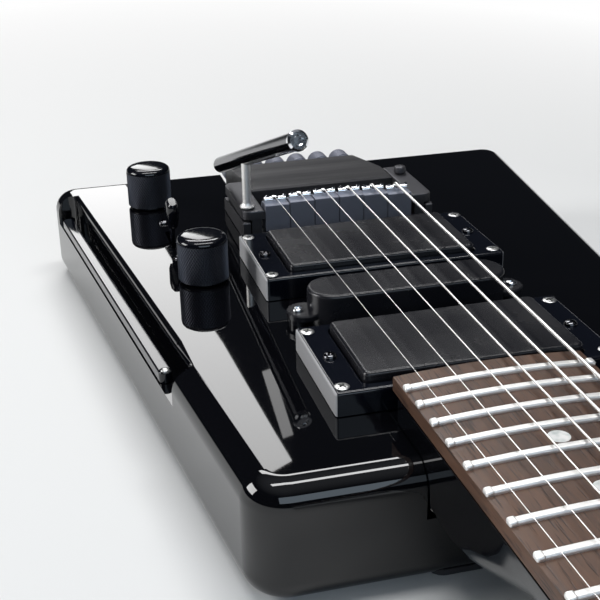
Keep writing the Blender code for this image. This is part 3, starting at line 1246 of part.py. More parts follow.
def make_strap_buttons():
    """Two strap buttons, each with its screw: on the tail and on the shoulder."""
    places = (("tail", STRAP_TAIL_X, BODY_TAIL, 1), ("shoulder", STRAP_FRONT_X, BODY_FRONT, -1))
    head = STRAP_HEIGHT
    profile = [(0, -STRAP_SCREW_LENGTH), (STRAP_SCREW_RADIUS, -STRAP_SCREW_LENGTH), (STRAP_SCREW_RADIUS, GAP),
               (0.0055, GAP), (0.0052, 0.0015), (STRAP_WAIST, 0.0040), (STRAP_WAIST, head - 0.0038),
               (STRAP_RADIUS, head - 0.0022), (STRAP_RADIUS, head - 0.0012), (0.0055, head), (0, head)]
    for label, x, face, way in places:
        button = along(turned(profile, 14), (x, face, STRAP_Z), (x, face + way * OVERSHOOT, STRAP_Z))
        add_node("strap_button_" + label, button, "black_metal", smooth=40)


make_body()
make_neck()
make_fretboard()
make_headpiece()
make_strings()
make_pickups()
make_pivot_brackets()
make_tremolo()
make_arm()
make_controls()
make_leg_rest()
make_jack()
make_strap_buttons()
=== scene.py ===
# %% [markdown]
# # A headless electric guitar, dressed for a studio picture
# The engineering model of the guitar is already built and packed, and it is loaded here as a fixed frame.
# This lesson gives it its looks: lacquer, moulded plastic, knurled knobs, bright strings and polished
# chrome. Nothing moves away from where the frame says it is, so every hinge and slide still works.

# %% Load the frame
import json
import math

import bmesh
import bpy
from mathutils import Matrix, Vector


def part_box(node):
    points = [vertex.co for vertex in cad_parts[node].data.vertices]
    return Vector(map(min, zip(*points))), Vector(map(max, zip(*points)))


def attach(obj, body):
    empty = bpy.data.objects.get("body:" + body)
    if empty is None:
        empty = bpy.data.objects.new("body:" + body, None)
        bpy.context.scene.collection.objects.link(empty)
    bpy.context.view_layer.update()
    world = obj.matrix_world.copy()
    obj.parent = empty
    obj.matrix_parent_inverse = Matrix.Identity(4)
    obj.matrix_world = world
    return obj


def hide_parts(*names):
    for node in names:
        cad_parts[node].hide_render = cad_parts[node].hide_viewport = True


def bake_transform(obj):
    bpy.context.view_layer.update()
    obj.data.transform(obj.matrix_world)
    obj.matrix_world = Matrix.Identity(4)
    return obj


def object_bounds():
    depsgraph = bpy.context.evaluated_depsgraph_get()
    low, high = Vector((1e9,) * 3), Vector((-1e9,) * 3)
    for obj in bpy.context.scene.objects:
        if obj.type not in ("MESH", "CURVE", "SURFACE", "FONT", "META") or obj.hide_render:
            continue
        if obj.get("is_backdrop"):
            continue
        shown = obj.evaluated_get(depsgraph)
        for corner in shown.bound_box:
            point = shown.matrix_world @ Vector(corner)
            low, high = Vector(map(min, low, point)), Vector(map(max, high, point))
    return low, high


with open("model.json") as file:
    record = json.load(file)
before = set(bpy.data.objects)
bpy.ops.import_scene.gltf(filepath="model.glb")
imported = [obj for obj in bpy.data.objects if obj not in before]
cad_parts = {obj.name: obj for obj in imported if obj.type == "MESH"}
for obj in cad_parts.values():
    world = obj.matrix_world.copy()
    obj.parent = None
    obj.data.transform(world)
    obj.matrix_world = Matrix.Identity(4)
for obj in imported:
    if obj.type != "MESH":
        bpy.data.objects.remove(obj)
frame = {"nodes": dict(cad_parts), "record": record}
cad_low, cad_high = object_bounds()
record = frame["record"]
BODY_OF_NODE = {node: body for body, nodes in record["behaviour"]["bodies"].items() for node in nodes}
SLOT_OF_NODE = {part["node"]: part["material_slot"] for part in record["subparts"]}

# %% [markdown]
# ## The camera
# A picture of a guitar is taken low over the strings, so that the body spreads out in front and the neck
# leaves the frame. The camera's place was found by matching known sizes, such as the pickups, with where
# they are in the picture. Two of its directions are given as they were found, the third follows from them,
# and a matrix turns all three into one rotation.

# %% Place the camera
CAMERA_AT = Vector((-0.1267, -0.4336, 0.2054))
CAMERA_FORWARD = Vector((0.2255, 0.8869, -0.4032)).normalized()
CAMERA_UP = Vector((0.1197, 0.3855, 0.9150))
camera_right = CAMERA_FORWARD.cross(CAMERA_UP).normalized()
camera_up = camera_right.cross(CAMERA_FORWARD)
camera_data = bpy.data.cameras.new("camera")
camera_data.lens = 70.94
camera_data.sensor_width = 36.0
camera_data.clip_start = 0.01
camera = bpy.data.objects.new("camera", camera_data)
turn = Matrix((camera_right, camera_up, -CAMERA_FORWARD)).transposed()
camera.matrix_world = Matrix.Translation(CAMERA_AT) @ turn.to_4x4()
bpy.context.scene.collection.objects.link(camera)
bpy.context.scene.camera = camera
print("camera looks", round(math.degrees(math.asin(-CAMERA_FORWARD.z)), 1), "degrees down")

# %% [markdown]
# ## Shader sums as plain Python
# A node tree of sums is hard to read. Here a small class stands for one socket, and adding or multiplying
# such values adds the Math nodes. One method makes any other kind of node: its settings come first, then
# its sockets. The methods below it name the few nodes that this guitar's finishes need.

# %% Wrap a shader socket


class Signal:
    """One output socket of a shader node, which takes part in Python sums."""

    def __init__(self, tree, socket):
        self.tree = tree
        self.socket = socket

    def node(self, kind, settings=None, sockets=None, output=0):
        """Add a node of any kind, and give back one of its outputs."""
        made = self.tree.nodes.new(kind)
        for name, value in (settings or {}).items():
            setattr(made, name, value)
        for name, value in (sockets or {}).items():
            if isinstance(value, Signal):
                self.tree.links.new(value.socket, made.inputs[name])
            else:
                made.inputs[name].default_value = value
        return Signal(self.tree, made.outputs[output])

    def math(self, operation, other, first=True):
        """A Math node of this value and another one, in either order."""
        pair = (self, other) if first else (other, self)
        return self.node("ShaderNodeMath", {"operation": operation}, {0: pair[0], 1: pair[1]})

    def __add__(self, other):
        return self.math("ADD", other)

    def __sub__(self, other):
        return self.math("SUBTRACT", other)

    def __rsub__(self, other):
        return self.math("SUBTRACT", other, first=False)

    def __mul__(self, other):
        return self.math("MULTIPLY", other)

    __radd__, __rmul__ = __add__, __mul__

    def axis(self, letter):
        """One coordinate of these."""
        return self.node("ShaderNodeSeparateXYZ", {}, {"Vector": self}, letter)

    def sine(self):
        """The sine of this value, in radians."""
        return self.node("ShaderNodeMath", {"operation": "SINE"}, {0: self})

    def stretched(self, x, y, z):
        """The same coordinates, scaled along each axis."""
        return self.node("ShaderNodeMapping", {}, {"Vector": self, "Scale": (x, y, z)})

    def noise(self, scale, detail=3.0, roughness=0.5):
        """Cloudy noise from 0 to 1 at these coordinates."""
        settings = {"Vector": self, "Scale": scale, "Detail": detail, "Roughness": roughness}
        return self.node("ShaderNodeTexNoise", {}, settings)

    def ramp(self, low, high):
        """0 below low, 1 above high, and a straight rise between them."""
        limits = {"Value": self, "From Min": low, "From Max": high}
        return self.node("ShaderNodeMapRange", {"clamp": True}, limits)

    def colours(self, dark, light):
        """Blend two colours by this value. A colour is three numbers or another blend."""
        dark, light = [one if isinstance(one, Signal) else (*one, 1.0) for one in (dark, light)]
        return self.node("ShaderNodeMix", {"data_type": "RGBA"}, {0: self, 6: dark, 7: light}, 2)

    def bump(self, distance, strength=1.0):
        """A surface direction that rises and falls with this value."""
        return self.node("ShaderNodeBump", {}, {"Height": self, "Distance": distance, "Strength": strength})


print("a Signal knows", [name for name in dir(Signal) if not name.startswith("__")])

# %% [markdown]
# ## A finish
# Each finish starts as a Principled material with plain numbers, kept under a short name. What changes over
# the surface is then fed into it from the object's own coordinates, so that the pattern stays put when a
# piece moves.

# %% Start a finish
FINISH = {}


def new_finish(key, name, colour, roughness, metallic=0.0):
    """Make a Principled material, and return its shader and its object coordinates."""
    material = bpy.data.materials.new(name)
    material.use_nodes = True
    FINISH[key] = material
    tree = material.node_tree
    shader = tree.nodes["Principled BSDF"]
    shader.inputs["Base Color"].default_value = (*colour, 1.0)
    shader.inputs["Roughness"].default_value = roughness
    shader.inputs["Metallic"].default_value = metallic
    coordinates = tree.nodes.new("ShaderNodeTexCoord")
    return shader, Signal(tree, coordinates.outputs["Object"])


def feed(shader, **signals):
    """Link signals to the shader's sockets: Base_Color stands for Base Color."""
    for name, signal in signals.items():
        signal.tree.links.new(signal.socket, shader.inputs[name.replace("_", " ")])


print("finishes so far:", len(FINISH))

# %% [markdown]
# ## Lacquer
# The body and neck are sprayed with black polyester and buffed until they mirror like glass. Under the
# clear surface there is only black, so nearly all that the eye gets is the reflection. The paint's flow
# leaves a slow waviness and the buffing a trace of haze, and both only show at the edge of a reflection.

# %% Black lacquer
shader, place = new_finish("lacquer", "black_lacquer", (0.0020, 0.0021, 0.0030), 0.02)
shader.inputs["IOR"].default_value = 1.55
flow = place.noise(14.0, 1.0).bump(0.00005, 0.10)
feed(shader, Roughness=0.012 + 0.016 * place.noise(55.0, 2.0), Normal=flow)
print("made", FINISH["lacquer"].name)

# %% [markdown]
# ## Moulded plastic
# The pickup covers are moulded with a fine satin grain, and the tops of the knobs are polished. Both are
# black, so the difference lies in the roughness and in a grain that bumps the surface by some microns. The
# pickup rings are polished too, but their two ends are rougher, with fine marks, and are painted light
# grey.
# The grey is a painted sheen for the light that falls on the ends from the left. A mask picks what lies far
# out along X.

# %% Satin and gloss plastic
shader, place = new_finish("satin", "satin_plastic", (0.016, 0.016, 0.018), 0.30)
grain = place.noise(3200.0, 2.0)
handled = place.noise(45.0, 4.0).ramp(0.35, 0.75)
feed(shader, Roughness=0.24 + 0.06 * handled, Normal=grain.bump(0.00002, 0.15),
     Base_Color=handled.colours((0.010, 0.010, 0.013), (0.016, 0.016, 0.019)))

shader, place = new_finish("gloss", "gloss_plastic", (0.003, 0.0035, 0.006), 0.10)
wiped = place.stretched(1.0, 6.0, 1.0).noise(220.0, 3.0)
feed(shader, Roughness=0.06 + 0.08 * wiped, Normal=place.noise(30.0, 1.0).bump(0.00004, 0.10))

RING_END = 0.0442
shader, place = new_finish("ring", "ring_plastic", (0.004, 0.005, 0.009), 0.10)
across = place.axis("X")
rough_end_painted_light = (across * across).ramp((RING_END - 0.0002) ** 2, RING_END ** 2)
saw_marks = (place.noise(900.0, 3.0) * rough_end_painted_light).bump(0.00005, 0.5)
# The ends' light grey is painted light, a painted sheen that stands for a lamp at the left; their higher
# roughness and fine marks are real.
feed(shader, Roughness=0.06 + 0.05 * place.noise(220.0) + 0.40 * rough_end_painted_light, Normal=saw_marks,
     Base_Color=rough_end_painted_light.colours((0.004, 0.005, 0.009), (0.40, 0.40, 0.41)))
print("plastics:", sorted(FINISH))

# %% [markdown]
# ## Coated metal
# The bridge is cast and coated satin black. A coating is never quite even, so its roughness drifts and a
# fine orange peel bumps it. The block's coating is brushed along X first, which noise that is stretched
# along X shows.

# %% Coated and brushed black metal
shader, place = new_finish("black_metal", "black_coated_metal", (0.085, 0.085, 0.093), 0.40, 0.75)
drift = place.noise(60.0, 3.0)
feed(shader, Roughness=0.34 + 0.14 * drift, Normal=place.noise(1500.0, 2.0).bump(0.00002, 0.30),
     Base_Color=drift.colours((0.070, 0.070, 0.077), (0.105, 0.105, 0.114)))

shader, place = new_finish("brushed", "brushed_black_metal", (0.07, 0.07, 0.075), 0.45, 0.75)
brushing = place.stretched(0.03, 1.0, 1.0).noise(700.0, 4.0)
wear = place.stretched(0.15, 1.0, 1.0).noise(90.0, 3.0).ramp(0.35, 0.75)
feed(shader, Roughness=0.40 + 0.16 * brushing, Normal=brushing.bump(0.00002, 0.35),
     Base_Color=wear.colours((0.030, 0.030, 0.033), (0.075, 0.074, 0.077)))
print("coated metals made")

# %% [markdown]
# ## Plated metal
# The saddles and the tuner knobs have a dull, bluish plating and the big knobs' knurling a darker one.
# Chrome is a plain mirror. These three differ only in a few numbers, so a loop makes them. The arm is black
# nickel, a dark mirror with the faintest hairlines, and bare steel has a fine grain.

# %% Plated and bare metal
for key, name, colour, metallic, smoothest, rise, scale in (
        ("saddle", "dark_saddle_metal", (0.24, 0.25, 0.30), 0.55, 0.45, 0.12, 500.0),
        ("knurl", "black_knurl_plate", (0.100, 0.106, 0.130), 0.85, 0.34, 0.12, 400.0),
        ("chrome", "chrome_plate", (0.86, 0.87, 0.89), 1.0, 0.06, 0.06, 400.0)):
    shader, place = new_finish(key, name, colour, smoothest, metallic)
    feed(shader, Roughness=smoothest + rise * place.noise(scale, 3.0))

shader, place = new_finish("black_nickel", "black_nickel", (0.15, 0.15, 0.16), 0.10, 1.0)
feed(shader, Roughness=0.07 + 0.07 * place.stretched(8.0, 1.0, 8.0).noise(400.0, 3.0))

shader, place = new_finish("steel", "bare_steel", (0.62, 0.62, 0.61), 0.34, 1.0)
feed(shader, Roughness=0.28 + 0.14 * place.noise(300.0, 3.0), Normal=place.noise(900.0).bump(0.00002, 0.3))
print("finishes so far:", sorted(FINISH))

# %% [markdown]
# ## Frets and strings
# Frets are nickel silver, dressed with fine abrasive across their tops, so that they are soft mirrors. The
# three thin strings are plain steel. The three thick ones have a wrap, which is a sine along their length.

# %% Fret and string metals
shader, place = new_finish("fret", "nickel_fret_wire", (0.96, 0.95, 0.93), 0.48, 1.0)
feed(shader, Roughness=0.44 + 0.10 * place.stretched(1.0, 12.0, 1.0).noise(150.0, 3.0))

shader, place = new_finish("plain_string", "plain_string", (0.94, 0.93, 0.91), 0.38, 1.0)
feed(shader, Roughness=0.34 + 0.10 * place.stretched(1.0, 0.1, 1.0).noise(500.0))

WRAP_PITCH = 0.00032
shader, place = new_finish("wound_string", "wound_string", (0.92, 0.90, 0.87), 0.38, 1.0)
wrap = (place.axis("Y") * (math.tau / WRAP_PITCH)).sine()
feed(shader, Roughness=0.34 + 0.08 * place.noise(300.0), Normal=wrap.bump(0.00002, 0.35))
print("string wrap of", WRAP_PITCH * 1000, "mm")

# %% [markdown]
# ## Rosewood
# A fretboard's wood has long streaks of light and dark along the neck, and short open pores. The streaks
# are noise that is stretched along Y. The pores are finer noise, also stretched and cut off so that only
# its peaks are left. They darken the wood and lower it.

# %% Rosewood and pearl
shader, place = new_finish("rosewood", "rosewood", (0.08, 0.045, 0.03), 0.5)
streak = place.stretched(1.0, 0.10, 1.0).noise(420.0, 6.0, 0.65).ramp(0.30, 0.72)
broad = place.stretched(1.0, 0.12, 1.0).noise(70.0, 3.0).ramp(0.25, 0.75)
pore = place.stretched(1.0, 0.06, 1.0).noise(1500.0, 2.0).ramp(0.55, 0.68)
tone = 0.6 * streak + 0.4 * broad
brown = tone.colours((0.034, 0.016, 0.010), (0.150, 0.074, 0.042))
worn = (pore * 0.8).colours(brown, (0.016, 0.008, 0.006))
feed(shader, Base_Color=worn, Roughness=0.40 + 0.18 * streak, Normal=(1 - pore).bump(0.00006, 0.5))

shader, place = new_finish("pearl", "pearl", (0.75, 0.76, 0.74), 0.18)
shimmer = place.noise(420.0, 3.0).ramp(0.3, 0.7)
feed(shader, Base_Color=shimmer.colours((0.58, 0.62, 0.60), (0.88, 0.86, 0.84)),
     Roughness=0.12 + 0.12 * shimmer)
print("finishes:", sorted(FINISH))

# %% [markdown]
# ## Making a piece
# Every piece goes through the same gate: its doubled points are joined, its faces are turned outwards, it
# is shaded smooth with hard edges kept, and it is tied to the body of the frame that carries it. Normals
# weighted by area keep broad faces flat next to a rounded edge, which matters most on a mirror-like finish.

# %% The gate for a new piece


def mesh_of(bm, name):
    """A mesh made of a bmesh, which is used up."""
    mesh = bpy.data.meshes.new(name)
    bm.to_mesh(mesh)
    bm.free()
    return mesh


def in_scene(name, data):
    """A new object of the scene, which shows a mesh, a curve or a lamp."""
    made = bpy.data.objects.new(name, data)
    bpy.context.scene.collection.objects.link(made)
    return made


def finish_piece(name, bm, finish, body, replaced=(), sharp=32):
    """Turn a bmesh into a shaded piece that rides on a body."""
    bmesh.ops.remove_doubles(bm, verts=bm.verts, dist=0.000002)
    bmesh.ops.recalc_face_normals(bm, faces=bm.faces)
    mesh = mesh_of(bm, name)
    mesh.shade_smooth()
    mesh.set_sharp_from_angle(angle=math.radians(sharp))
    mesh.materials.append(FINISH[finish])
    piece = in_scene(name, mesh)
    weighted = piece.modifiers.new("flat_faces_stay_flat", "WEIGHTED_NORMAL")
    weighted.keep_sharp = True
    if body:
        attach(piece, body)
    if replaced:
        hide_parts(*replaced)
    return piece


def stand_for(node, name, bm, finish, sharp=32):
    """Finish a piece that takes a node's place, on the node's own body."""
    return finish_piece(name, bm, finish, BODY_OF_NODE[node], (node,), sharp)


# %% [markdown]
# ## Shapes by bmesh operators
# A few helpers cover most new pieces. A block starts as a cube. A lathe spins a profile round Z, and a peg
# is the plainest turned shape. A bar is one face, extruded along X. All of them return a bmesh, so that
# bevels can follow before the piece is finished.

# %% Blocks, turned shapes and bars


def block(low, high):
    """A box between two corners."""
    bm = bmesh.new()
    low, high = Vector(low), Vector(high)
    size = Matrix.Diagonal((*(high - low), 1.0))
    bmesh.ops.create_cube(bm, size=1.0, matrix=Matrix.Translation((low + high) / 2) @ size)
    return bm


def turned(profile, segments):
    """Spin a profile of (radius, height) points, from axis to axis, about Z."""
    bm = bmesh.new()
    line = [bm.verts.new((radius, 0, height)) for radius, height in profile]
    edges = [bm.edges.new(pair) for pair in zip(line, line[1:])]
    bmesh.ops.spin(bm, geom=line + edges, axis=(0, 0, 1), cent=(0, 0, 0), angle=math.tau, steps=segments,
                   use_merge=True, use_duplicate=False)
    bmesh.ops.remove_doubles(bm, verts=bm.verts, dist=0.000001)
    bmesh.ops.recalc_face_normals(bm, faces=bm.faces)
    return bm


def peg(radius, low, high, segments):
    """A plain round bar along Z."""
    return turned([(0, low), (radius, low), (radius, high), (0, high)], segments)


def extruded(profile, start, end):
    """A bar along X whose section is a profile of (y, z) points."""
    bm = bmesh.new()
    face = bm.faces.new([bm.verts.new((start, y, z)) for y, z in profile])
    grown = bmesh.ops.extrude_face_region(bm, geom=[face])["geom"]
    moving = [item for item in grown if isinstance(item, bmesh.types.BMVert)]
    bmesh.ops.translate(bm, verts=moving, vec=(end - start, 0, 0))
    bmesh.ops.recalc_face_normals(bm, faces=bm.faces)
    return bm


print("a small cone has", len(turned([(0, 0), (1, 0), (0, 1)], 8).faces), "faces")

# %% [markdown]
# ## Rounding edges
# A real edge is never sharp, and the light line on a rounded edge is what shows the form of a black thing.
# One helper bevels, and small tests pick the edges: upright ones, those at one height, or all that are
# sharper than some angle.

# %% Round over the edges that a test picks


def round_over(bm, width, segments, keep):
    """Bevel the edges that keep(edge) picks."""
    edges = [edge for edge in bm.edges if keep(edge)]
    bmesh.ops.bevel(bm, geom=edges, offset=width, offset_type="OFFSET", affect="EDGES", segments=segments,
                    profile=0.5, material=-1, clamp_overlap=True)
    return bm


def upright(edge):
    """True for an edge that runs along Z."""
    return (edge.verts[0].co - edge.verts[1].co).xy.length < 0.000001


def at_height(height):
    """Pick the edges that lie at one height."""
    return lambda edge: all(abs(vert.co.z - height) < 0.000001 for vert in edge.verts)


def sharper_than(degrees):
    """Pick the edges where two faces meet at more than an angle."""
    return lambda edge: edge.is_manifold and edge.calc_face_angle() > math.radians(degrees)


rounded = round_over(block((0, 0, 0), (1, 1, 1)), 0.1, 2, upright)
print("a cube with four rounded edges has", len(rounded.faces), "faces")

# %% [markdown]
# ## Placing, joining and carving
# A turned shape is made along Z and then laid where it belongs. Shapes of one finish are joined in one
# mesh. A hole or a pocket is carved with the exact Boolean, one cutter after another.

# %% Place, merge and carve


def placed(bm, position, direction=(0, 0, 1)):
    """Turn a shape made along Z into a direction, and move its origin to a position."""
    turn = Vector((0, 0, 1)).rotation_difference(Vector(direction).normalized()).to_matrix().to_4x4()
    bmesh.ops.transform(bm, verts=bm.verts, matrix=Matrix.Translation(position) @ turn)
    return bm


def merged(shapes):
    """One bmesh of several shapes, which are used up."""
    bm = bmesh.new()
    for shape in shapes:
        mesh = mesh_of(shape, "part")
        bm.from_mesh(mesh)
        bpy.data.meshes.remove(mesh)
    return bm


def carved(bm, *cutters):
    """Take the cutters' shapes out of a bmesh."""
    objects = [in_scene("carving", mesh_of(shape, "carving")) for shape in (bm, *cutters)]
    for cutter in objects[1:]:
        modifier = objects[0].modifiers.new("cut", "BOOLEAN")
        modifier.operation = "DIFFERENCE"
        modifier.solver = "EXACT"
        modifier.object = cutter
    bpy.context.view_layer.update()
    result = bmesh.new()
    result.from_object(objects[0], bpy.context.evaluated_depsgraph_get())
    for helper in objects:
        mesh = helper.data
        bpy.data.objects.remove(helper)
        bpy.data.meshes.remove(mesh)
    return result


drilled = carved(block((0, 0, 0), (1, 1, 1)), placed(peg(0.2, -1, 2, 8), (0.5, 0.5, 0)))
print("a drilled cube has", len(drilled.faces), "faces")

# %% [markdown]
# ## Dressing a node
# Where the frame's own shape is right, a copy of it is used. Its loose triangles are joined into flat faces
# first, so that only real edges are left to be rounded.

# %% Copy a node and ease its edges


def node_mesh(node):
    """A bmesh copy of a node of the frame, with its loose triangles joined into flat faces."""
    bm = bmesh.new()
    bm.from_mesh(frame["nodes"][node].data)
    bmesh.ops.remove_doubles(bm, verts=bm.verts, dist=0.000005)
    bmesh.ops.dissolve_limit(bm, angle_limit=math.radians(1.5), verts=bm.verts, edges=bm.edges)
    return bm


def dress(node, finish, width, segments=2, angle=40, sharp=50):
    """Replace a node by a copy whose hard edges are rounded by width."""
    bm = node_mesh(node)
    if width:
        round_over(bm, width, segments, sharper_than(angle))
    return stand_for(node, "dressed_" + node, bm, finish, sharp)


print("the nut's copy has", len(node_mesh("nut").faces), "flat faces")

# %% [markdown]
# ## Body
# The body is a paddle of wood, a little wider at the tail, with rounded corners and a soft round-over at
# the face and the back. Its face is the mirror of this picture, so it has to be perfectly flat, and its
# corners need many steps, because a mirror shows every facet. It starts as a block whose front end is drawn
# in.

# %% The paddle
FACE = 0.038
BODY_FRONT = -0.182
BODY_TAIL = 0.092
FRONT_HALF = 0.0765
TAPER = (0.1091 - FRONT_HALF) / (BODY_TAIL - BODY_FRONT)
PADDLE_CORNER = 0.0114
PADDLE_EDGE = 0.008
PAST = 0.02
BOTH_SIDES = (-1, 1)


def side_at(y, inset=0.0):
    """How far from the middle the body's side is at y."""
    return FRONT_HALF + TAPER * (y - BODY_FRONT) - inset


paddle = block((-1, BODY_FRONT, 0), (1, BODY_TAIL, FACE))
for vert in paddle.verts:
    vert.co.x *= side_at(vert.co.y)
paddle = round_over(paddle, PADDLE_CORNER, 14, upright)
paddle = round_over(paddle, PADDLE_EDGE, 8, lambda edge: at_height(FACE)(edge) or at_height(0)(edge))
print("paddle of", len(paddle.faces), "faces")

# %% [markdown]
# ## The neck's pocket and the leg rest's step
# The neck's heel sits in a tapered pocket of the face, and the leg rest lies in a long step of the treble
# side. Both cutters are blocks whose corners are moved, so that the walls follow the heel and the side.

# %% Cutters for the heel and the step
HEEL_FLOOR = 0.0217
HEEL_END = -0.1475
HEEL_FRONT_HALF = 0.02864
HEEL_TAPER = 0.01678
NOTCH_FLOOR = FACE - 0.0127
NOTCH_Y = (-0.106, 0.076)
NOTCH_INSET = 0.0077
NOTCH_CORNER = 0.0030
heel = block((-1, BODY_FRONT - PAST, HEEL_FLOOR), (1, HEEL_END, FACE + PAST))
for vert in heel.verts:
    vert.co.x *= HEEL_FRONT_HALF + HEEL_TAPER * (vert.co.y - BODY_FRONT)
notch = block((-0.15, NOTCH_Y[0], NOTCH_FLOOR), (0, NOTCH_Y[1], FACE + PAST))
for vert in notch.verts:
    if vert.co.x > -0.1:
        vert.co.x = -side_at(vert.co.y, NOTCH_INSET)
notch = round_over(notch, NOTCH_CORNER, 6, lambda edge: upright(edge) and edge.verts[0].co.x > -0.14)
print("the step is", round((NOTCH_Y[1] - NOTCH_Y[0]) * 1000), "mm long")

# %% [markdown]
# ## The rolled edge
# Beside the leg rest the face rolls over into the step. The cutter's section is what lies outside a quarter
# of a circle. It is extruded along the step, and then once more while it shrinks, so that the roll fades
# out at the front.

# %% Cutter for the rolled edge
EDGE_ROLL = 0.0019
ROLL_FADE = 0.02
SLIVER = 0.0005
rolled = [(-SLIVER, -EDGE_ROLL)]
for degrees in range(0, 91, 15):
    angle = math.radians(degrees)
    rolled.append((EDGE_ROLL * (1 - math.cos(angle)), EDGE_ROLL * (math.sin(angle) - 1)))
rolled += [(EDGE_ROLL, PAST), (-SLIVER, PAST)]
roll = bmesh.new()
section = roll.faces.new([roll.verts.new((x, NOTCH_Y[1] - 0.001, z)) for x, z in rolled])
for y, size in ((NOTCH_Y[0] + ROLL_FADE, 1.0), (NOTCH_Y[0], 0.1)):
    grown = bmesh.ops.extrude_face_region(roll, geom=[section])["geom"]
    moving = [item for item in grown if isinstance(item, bmesh.types.BMVert)]
    section = next(item for item in grown if isinstance(item, bmesh.types.BMFace))
    bmesh.ops.scale(roll, verts=moving, vec=(size, 1, size))
    bmesh.ops.translate(roll, verts=moving, vec=(0, y - moving[0].co.y, 0))
for vert in roll.verts:
    vert.co.x -= side_at(vert.co.y, NOTCH_INSET)
    vert.co.z += FACE
bmesh.ops.recalc_face_normals(roll, faces=roll.faces)
print("the rolled edge has", len(roll.faces), "faces")

# %% [markdown]
# ## Pockets and holes
# The pickups, the bridge and the controls each have a pocket, and bolts, pots, jack and strap buttons go
# into round holes. The pickups, the switch and the bolts come back later, so their places get names.

# %% Pockets and holes
KNOB_PLACES = ((-0.062, -0.037), (-0.069, 0.052))
SWITCH_AT = (-0.067, 0.0075)
PICKUP_Y = (-0.0406, -0.0835, -0.1264)
BOLT_PLACES = [(side * 0.0185, y) for side in BOTH_SIDES for y in (-0.1735, -0.1563)]
PLATE_RECESS = 0.0026


def pocket(x, y, low, high, corner):
    """A block with rounded upright corners, between two limits across and two along."""
    return round_over(block((x[0], y[0], low), (x[1], y[1], high)), corner, 6, upright)


def hole(x, y, radius, low, high):
    """An upright round hole."""
    return placed(peg(radius, 0, high - low, 20), (x, y, low))


cutters = [heel, notch, roll]
for y in (PICKUP_Y[0], PICKUP_Y[2]):
    cutters.append(pocket((-0.0362, 0.0362), (y - 0.0205, y + 0.0205), FACE - 0.024, FACE + PAST, 0.003))
    cutters.append(pocket((-0.0421, 0.0421), (y - 0.008, y + 0.008), FACE - 0.014, FACE + PAST, 0.003))
y = PICKUP_Y[1]
cutters += [pocket((-0.0355, 0.0355), (y - 0.0096, y + 0.0096), FACE - 0.02, FACE + PAST, 0.0095),
            block((-0.0318, 0.0085, 0.012), (0.0318, BODY_TAIL + PAST, FACE + PAST)),
            pocket((-0.0790, -0.0475), (-0.0500, 0.0740), -PAST, FACE - 0.006, 0.006),
            pocket((-0.0840, -0.0425), (-0.0550, 0.0790), -PAST, PLATE_RECESS, 0.008),
            pocket((-0.0258, 0.0258), (-0.1802, -0.1496), -PAST, PLATE_RECESS, 0.004)]
cutters += [hole(x, y, 0.0039, FACE - PAST, FACE + PAST) for x, y in KNOB_PLACES]
x, y = SWITCH_AT
cutters.append(pocket((x - 0.0011, x + 0.0011), (y - 0.01, y + 0.01), FACE - PAST, FACE + PAST, 0.00105))
cutters += [hole(x, y, 0.0027, -PAST, 0.03) for x, y in BOLT_PLACES]
cutters.append(placed(peg(0.005, 0, 0.05, 32), (-0.066, 0.070, 0.019), (0, 1, 0)))
for x, y in ((0.060, BODY_TAIL - 0.016), (0.050, BODY_FRONT - PAST)):
    cutters.append(placed(peg(0.0021, 0, 0.036, 16), (x, y, 0.019), (0, 1, 0)))
print("cutters:", len(cutters))

# %% [markdown]
# ## Carve the body
# All cutters are taken out at once. Lacquer runs over a new edge and rounds it, so the sharp edges of the
# upper half, which the camera can see, are eased last.

# %% Carve and ease


def upper_rim(edge):
    """Pick the sharp edges of the upper half."""
    return sharper_than(60)(edge) and min(vert.co.z for vert in edge.verts) > 0.02


wood = round_over(carved(paddle, *cutters), 0.0004, 2, upper_rim)
print("the body has", len(wood.faces), "faces")
stand_for("body", "body_wood", wood, "lacquer", 40)

# %% [markdown]
# ## Neck
# The neck is sprayed like the body, and its sawn edges are eased. The nut is polished plastic, the
# headpiece a coated casting that holds the strings' balls, and the truss rod is bare steel inside the neck.

# %% Dress the neck
dress("neck", "lacquer", 0.0004, 2, 50, 60)
dress("nut", "gloss", 0.00025)
dress("headpiece", "black_metal", 0.00025)
dress("truss_rod", "steel", 0)
print("neck dressed")

# %% [markdown]
# ## Countersinks
# A flat-headed screw needs a cone to sit in. The same cone serves the pickup rings, the neck plate and the
# cover over the controls, so it is a helper of its own.

# %% Cones for sunk screws
RING_SCREW = 0.0023
SINK_DEPTH = 0.0014


def countersink(radius, at, direction=(0, 0, 1)):
    """A cutter for a sunk head: a cone that opens along the direction, and the shank's hole below it."""
    neck = radius * 0.45 + 0.0001
    rim = radius + 0.0001
    profile = [(0, -0.0035), (neck, -0.0035), (neck, -SINK_DEPTH), (rim, 0.00003), (rim, 0.002), (0, 0.002)]
    return placed(turned(profile, 28), at, direction)


print("countersinks are", SINK_DEPTH * 1000, "mm deep")

# %% [markdown]
# ## Pickup rings
# A ring is a frame of polished plastic whose edges are bevelled wide, so that each edge catches the light
# as one bright line. It is made as a block with rounded corners and bevelled top, and the pickup's opening
# is carved out.

